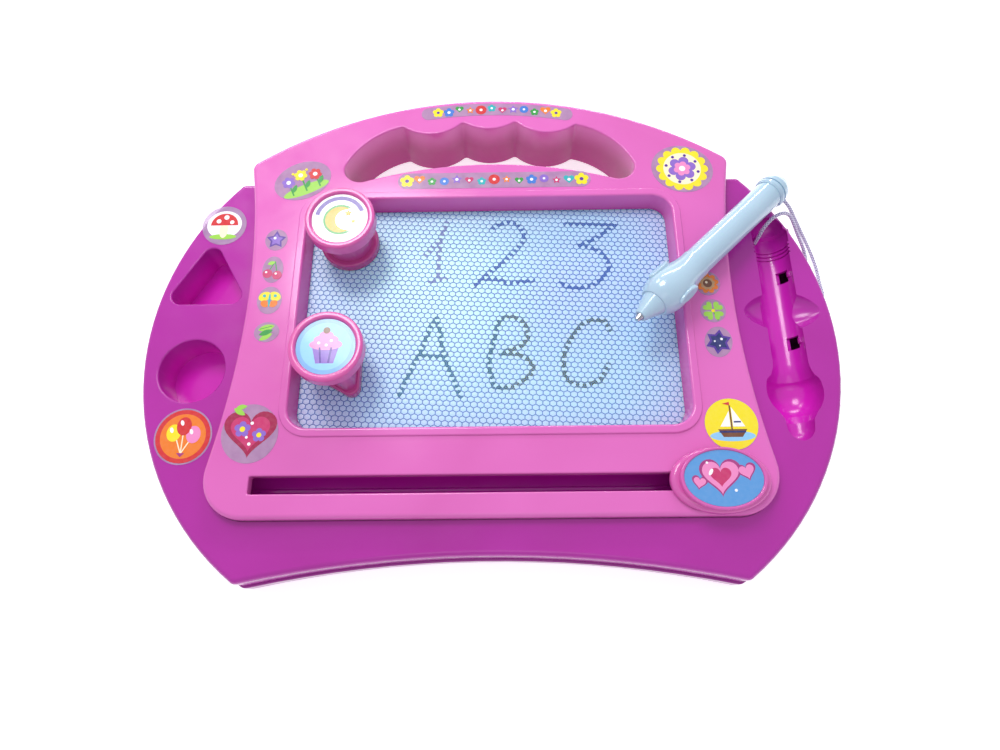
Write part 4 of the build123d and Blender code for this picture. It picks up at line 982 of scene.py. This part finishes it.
# Prints on the knob and the stamps
print_layers(
    "knob_hearts",
    "eraser",
    [
        ("plum", [heart(0.9, (-0.12, 0.0)), heart(0.42, (0.95, 0.22), 14), heart(0.34, (-1.0, -0.2), -12)]),
        ("pink", [heart(0.78, (-0.12, 0.0)), heart(0.33, (0.95, 0.22), 14), heart(0.26, (-1.0, -0.2), -12)]),
        ("rose", [heart(0.46, (-0.12, 0.02))]),
        ("white", [oval(0.07, 0.15, (-0.5, 0.24), -30), disc(0.06, (0.42, -0.5)), disc(0.05, (-0.62, 0.62))]),
    ],
    (116.5, -97.0),
    on_knob,
    size=12.4,
)
print_layers(
    "round_stamp_moon",
    "round_stamp",
    [
        ("violet", [band(0.84, 0.16, 20, 170)]),
        ("green", [moon(0.62, (0.02, -0.06))]),
        ("gold", [moon(0.54, (0.02, -0.06)), star(0.14, (0.3, 0.2)), star(0.1, (0.5, -0.14))]),
    ],
    (-83.0, 48.7),
    on_round_stamp,
    size=15.4,
)
print_layers(
    "triangle_stamp_cake",
    "triangle_stamp",
    [
        ("sky", [disc(0.86)]),
        ("purple", [[(-0.46, 0.0), (0.46, 0.0), (0.3, -0.62), (-0.3, -0.62)]]),
        ("pink", [oval(0.56, 0.2, (0, 0.06)), oval(0.42, 0.18, (0, 0.24)), oval(0.24, 0.15, (0, 0.4))]),
        ("violet", [bar((-0.2, -0.04), (-0.13, -0.6), 0.06), bar((0.2, -0.04), (0.13, -0.6), 0.06)]),
        ("brown", [disc(0.12, (0, 0.58))]),
        ("white", [disc(0.05, (-0.24, 0.12)), disc(0.05, (0.18, 0.2)), disc(0.05, (0.02, 0.04))]),
    ],
    (-84.6, -28.4),
    on_triangle_stamp,
    size=15.4,
)

# Braided cord along its route, from the pen's cap to the anchor hole
cord_route = [
    (0.16937, 0.07151, 0.03941),
    (0.17354, 0.06697, 0.03654),
    (0.1774, 0.0652, 0.0334),
    (0.182, 0.0634, 0.027),
    (0.1874, 0.0608, 0.0196),
    (0.1928, 0.0572, 0.0128),
    (0.1982, 0.052, 0.0066),
    (0.202, 0.0454, 0.0026),
    (0.2036, 0.0376, 0.0011),
    (0.2036, 0.0296, 0.0011),
    (0.2048, 0.0222, 0.0011),
    (0.1988, 0.0182, 0.0011),
    (0.1927, 0.022, 0.0011),
    (0.1923, 0.0296, 0.0011),
    (0.194, 0.0366, 0.0026),
    (0.1952, 0.043, 0.0066),
    (0.1922, 0.0494, 0.012),
    (0.187, 0.0542, 0.0186),
    (0.1824, 0.0586, 0.0252),
    (0.178, 0.0614, 0.0312),
    (0.1724, 0.0606, 0.0346),
    (0.1664, 0.0578, 0.0338),
    (0.1624, 0.0542, 0.0284),
    (0.161, 0.051, 0.021),
    (0.161, 0.051, 0.0132),
]
yarn_radius = 0.31 * MM
yarn_circle = 0.78 * MM
yarn_pitch = 5.4 * MM
yarn_weave = 0.07 * MM
yarns_each_way = 3
braid_step = 0.3 * MM
core_radius = 0.88 * MM


def cord_curve(name, bevel):
    """The route as a curve of one open spline."""
    curve = bpy.data.curves.new(name, "CURVE")
    curve.dimensions = "3D"
    curve.resolution_u = 12
    curve.bevel_depth = bevel
    curve.bevel_resolution = 3
    curve.use_fill_caps = True
    spline = curve.splines.new("NURBS")
    spline.points.add(len(cord_route) - 1)
    for point, place in zip(spline.points, cord_route):
        point.co = (*place, 1.0)
    spline.order_u = 3
    spline.use_endpoint_u = True
    return curve


def cord_line():
    """Points along the smooth line of the route."""
    probe = bpy.data.objects.new("cord_probe", cord_curve("cord_probe", 0.0))
    bpy.context.scene.collection.objects.link(probe)
    bpy.context.view_layer.update()
    mesh = bpy.data.meshes.new_from_object(probe)
    points = [vertex.co.copy() for vertex in mesh.vertices]
    bpy.data.objects.remove(probe)
    bpy.data.meshes.remove(mesh)
    return points


def even_steps(points, step):
    """The line's points again, at an even step."""
    result, left = [points[0]], step
    for a, b in zip(points, points[1:]):
        length = (b - a).length
        while length >= left:
            a = a + (b - a) * (left / length)
            length = (b - a).length
            result.append(a)
            left = step
        left -= length
    return result


def yarn_ring(maker, centre, tangent, normal, radius, sides=5):
    across = tangent.cross(normal).normalized()
    turns = [2 * pi * k / sides for k in range(sides)]
    return [maker.verts.new(centre + (normal * cos(t) + across * sin(t)) * radius) for t in turns]


def braid(name):
    """Yarns wound both ways round the cord, each dipping under the ones it crosses."""
    line = even_steps(cord_line(), braid_step)
    maker = bmesh.new()
    normal = Vector((0, 0, 1))
    rings = {}
    for i, point in enumerate(line):
        tangent = (line[min(i + 1, len(line) - 1)] - line[max(i - 1, 0)]).normalized()
        normal = (normal - tangent * normal.dot(tangent)).normalized()
        across = tangent.cross(normal)
        twist = 2 * pi * i * braid_step / yarn_pitch
        for way in (1, -1):
            for k in range(yarns_each_way):
                turn = way * twist + 2 * pi * k / yarns_each_way
                out = normal * cos(turn) + across * sin(turn)
                weave = yarn_weave * way * cos(yarns_each_way * twist)
                centre = point + out * (yarn_circle + weave)
                rings.setdefault((way, k), []).append(yarn_ring(maker, centre, tangent, out, yarn_radius))
    for strand in rings.values():
        for a, b in zip(strand, strand[1:]):
            join_rings(maker, a, b)
        maker.faces.new(strand[0][::-1])
        maker.faces.new(strand[-1])
    return mesh_from(maker, name, True)


tether = bpy.data.objects.new("tether", cord_curve("tether", core_radius))
bpy.context.scene.collection.objects.link(tether)
tether.data.materials.append(cord_core_painted_shade)
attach(tether, "pen")
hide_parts("tether_cord")
yarns = new_piece("tether_yarns", braid("tether_yarns"), "pen", [cord_yarn])


# Floor, light and camera
def stage_material():
    """Pale even floor that glows a little, so that it stays nearly white."""
    surface = Surface("studio_floor", 0.8)
    colour = surface.ramp(surface.noise(3.0, 2.0), ((0.3, linear("e4e4e6")), (0.7, linear("e8e8e9"))))
    surface.link(colour, "Base Color")
    surface.set("Emission Color", (1.0, 1.0, 1.0, 1.0))
    surface.set("Emission Strength", 0.62)
    surface.bump(surface.noise(200.0, 2.0), 0.05, 0.1 * MM)
    return surface.material


def area_light(name, place, aim, size, power, colour=(1, 1, 1)):
    """A soft elliptical light that faces a place, in metres and watts."""
    light = bpy.data.lights.new(name, "AREA")
    light.shape = "ELLIPSE"
    light.size, light.size_y = size
    light.energy = power
    light.color = colour
    lamp = bpy.data.objects.new(name, light)
    facing = (Vector(aim) - Vector(place)).to_track_quat("-Z", "Y")
    lamp.matrix_world = Matrix.Translation(place) @ facing.to_matrix().to_4x4()
    bpy.context.scene.collection.objects.link(lamp)


floor_maker = bmesh.new()
bmesh.ops.create_grid(floor_maker, x_segments=2, y_segments=2, size=4.0)
floor_mesh = mesh_from(floor_maker, "studio_floor")
floor = new_piece("studio_floor", floor_mesh, body="", materials=[stage_material()])

world = bpy.data.worlds.new("studio")
world.use_nodes = True
background = world.node_tree.nodes["Background"]
background.inputs["Color"].default_value = (0.93, 0.91, 1.0, 1.0)
background.inputs["Strength"].default_value = 0.72
bpy.context.scene.world = world
key_tint = (0.97, 1.0, 0.98)
area_light("key", (-0.2, 0.4, 0.78), aim=(0, 0, 0.02), size=(0.36, 0.36), power=3.05, colour=key_tint)
area_light("side", (-0.45, 0.75, 0.55), aim=(0, 0, 0), size=(0.3, 0.3), power=1.2)
area_light("fill", (0.0, -0.42, 0.75), aim=(0, 0, 0.02), size=(0.4, 0.4), power=0.3)
area_light("rim", (0.1, 1.2, 0.5), aim=(0, 0, 0), size=(0.9, 0.1), power=4.0)
bpy.context.scene.view_settings.view_transform = "Standard"
bpy.context.scene.view_settings.look = "None"

lens = bpy.data.cameras.new("photo_camera")
lens.lens = camera_lens
lens.sensor_width = sensor_width
lens.clip_start = 0.01
camera = bpy.data.objects.new("photo_camera", lens)
camera.matrix_world = (
    Matrix.Translation(camera_place)
    @ Matrix.Rotation(camera_heading, 4, "Z")
    @ Matrix.Rotation(pi / 2 - camera_tilt, 4, "X")
    @ Matrix.Rotation(camera_roll, 4, "Z")
)
bpy.context.scene.collection.objects.link(camera)
bpy.context.scene.camera = camera
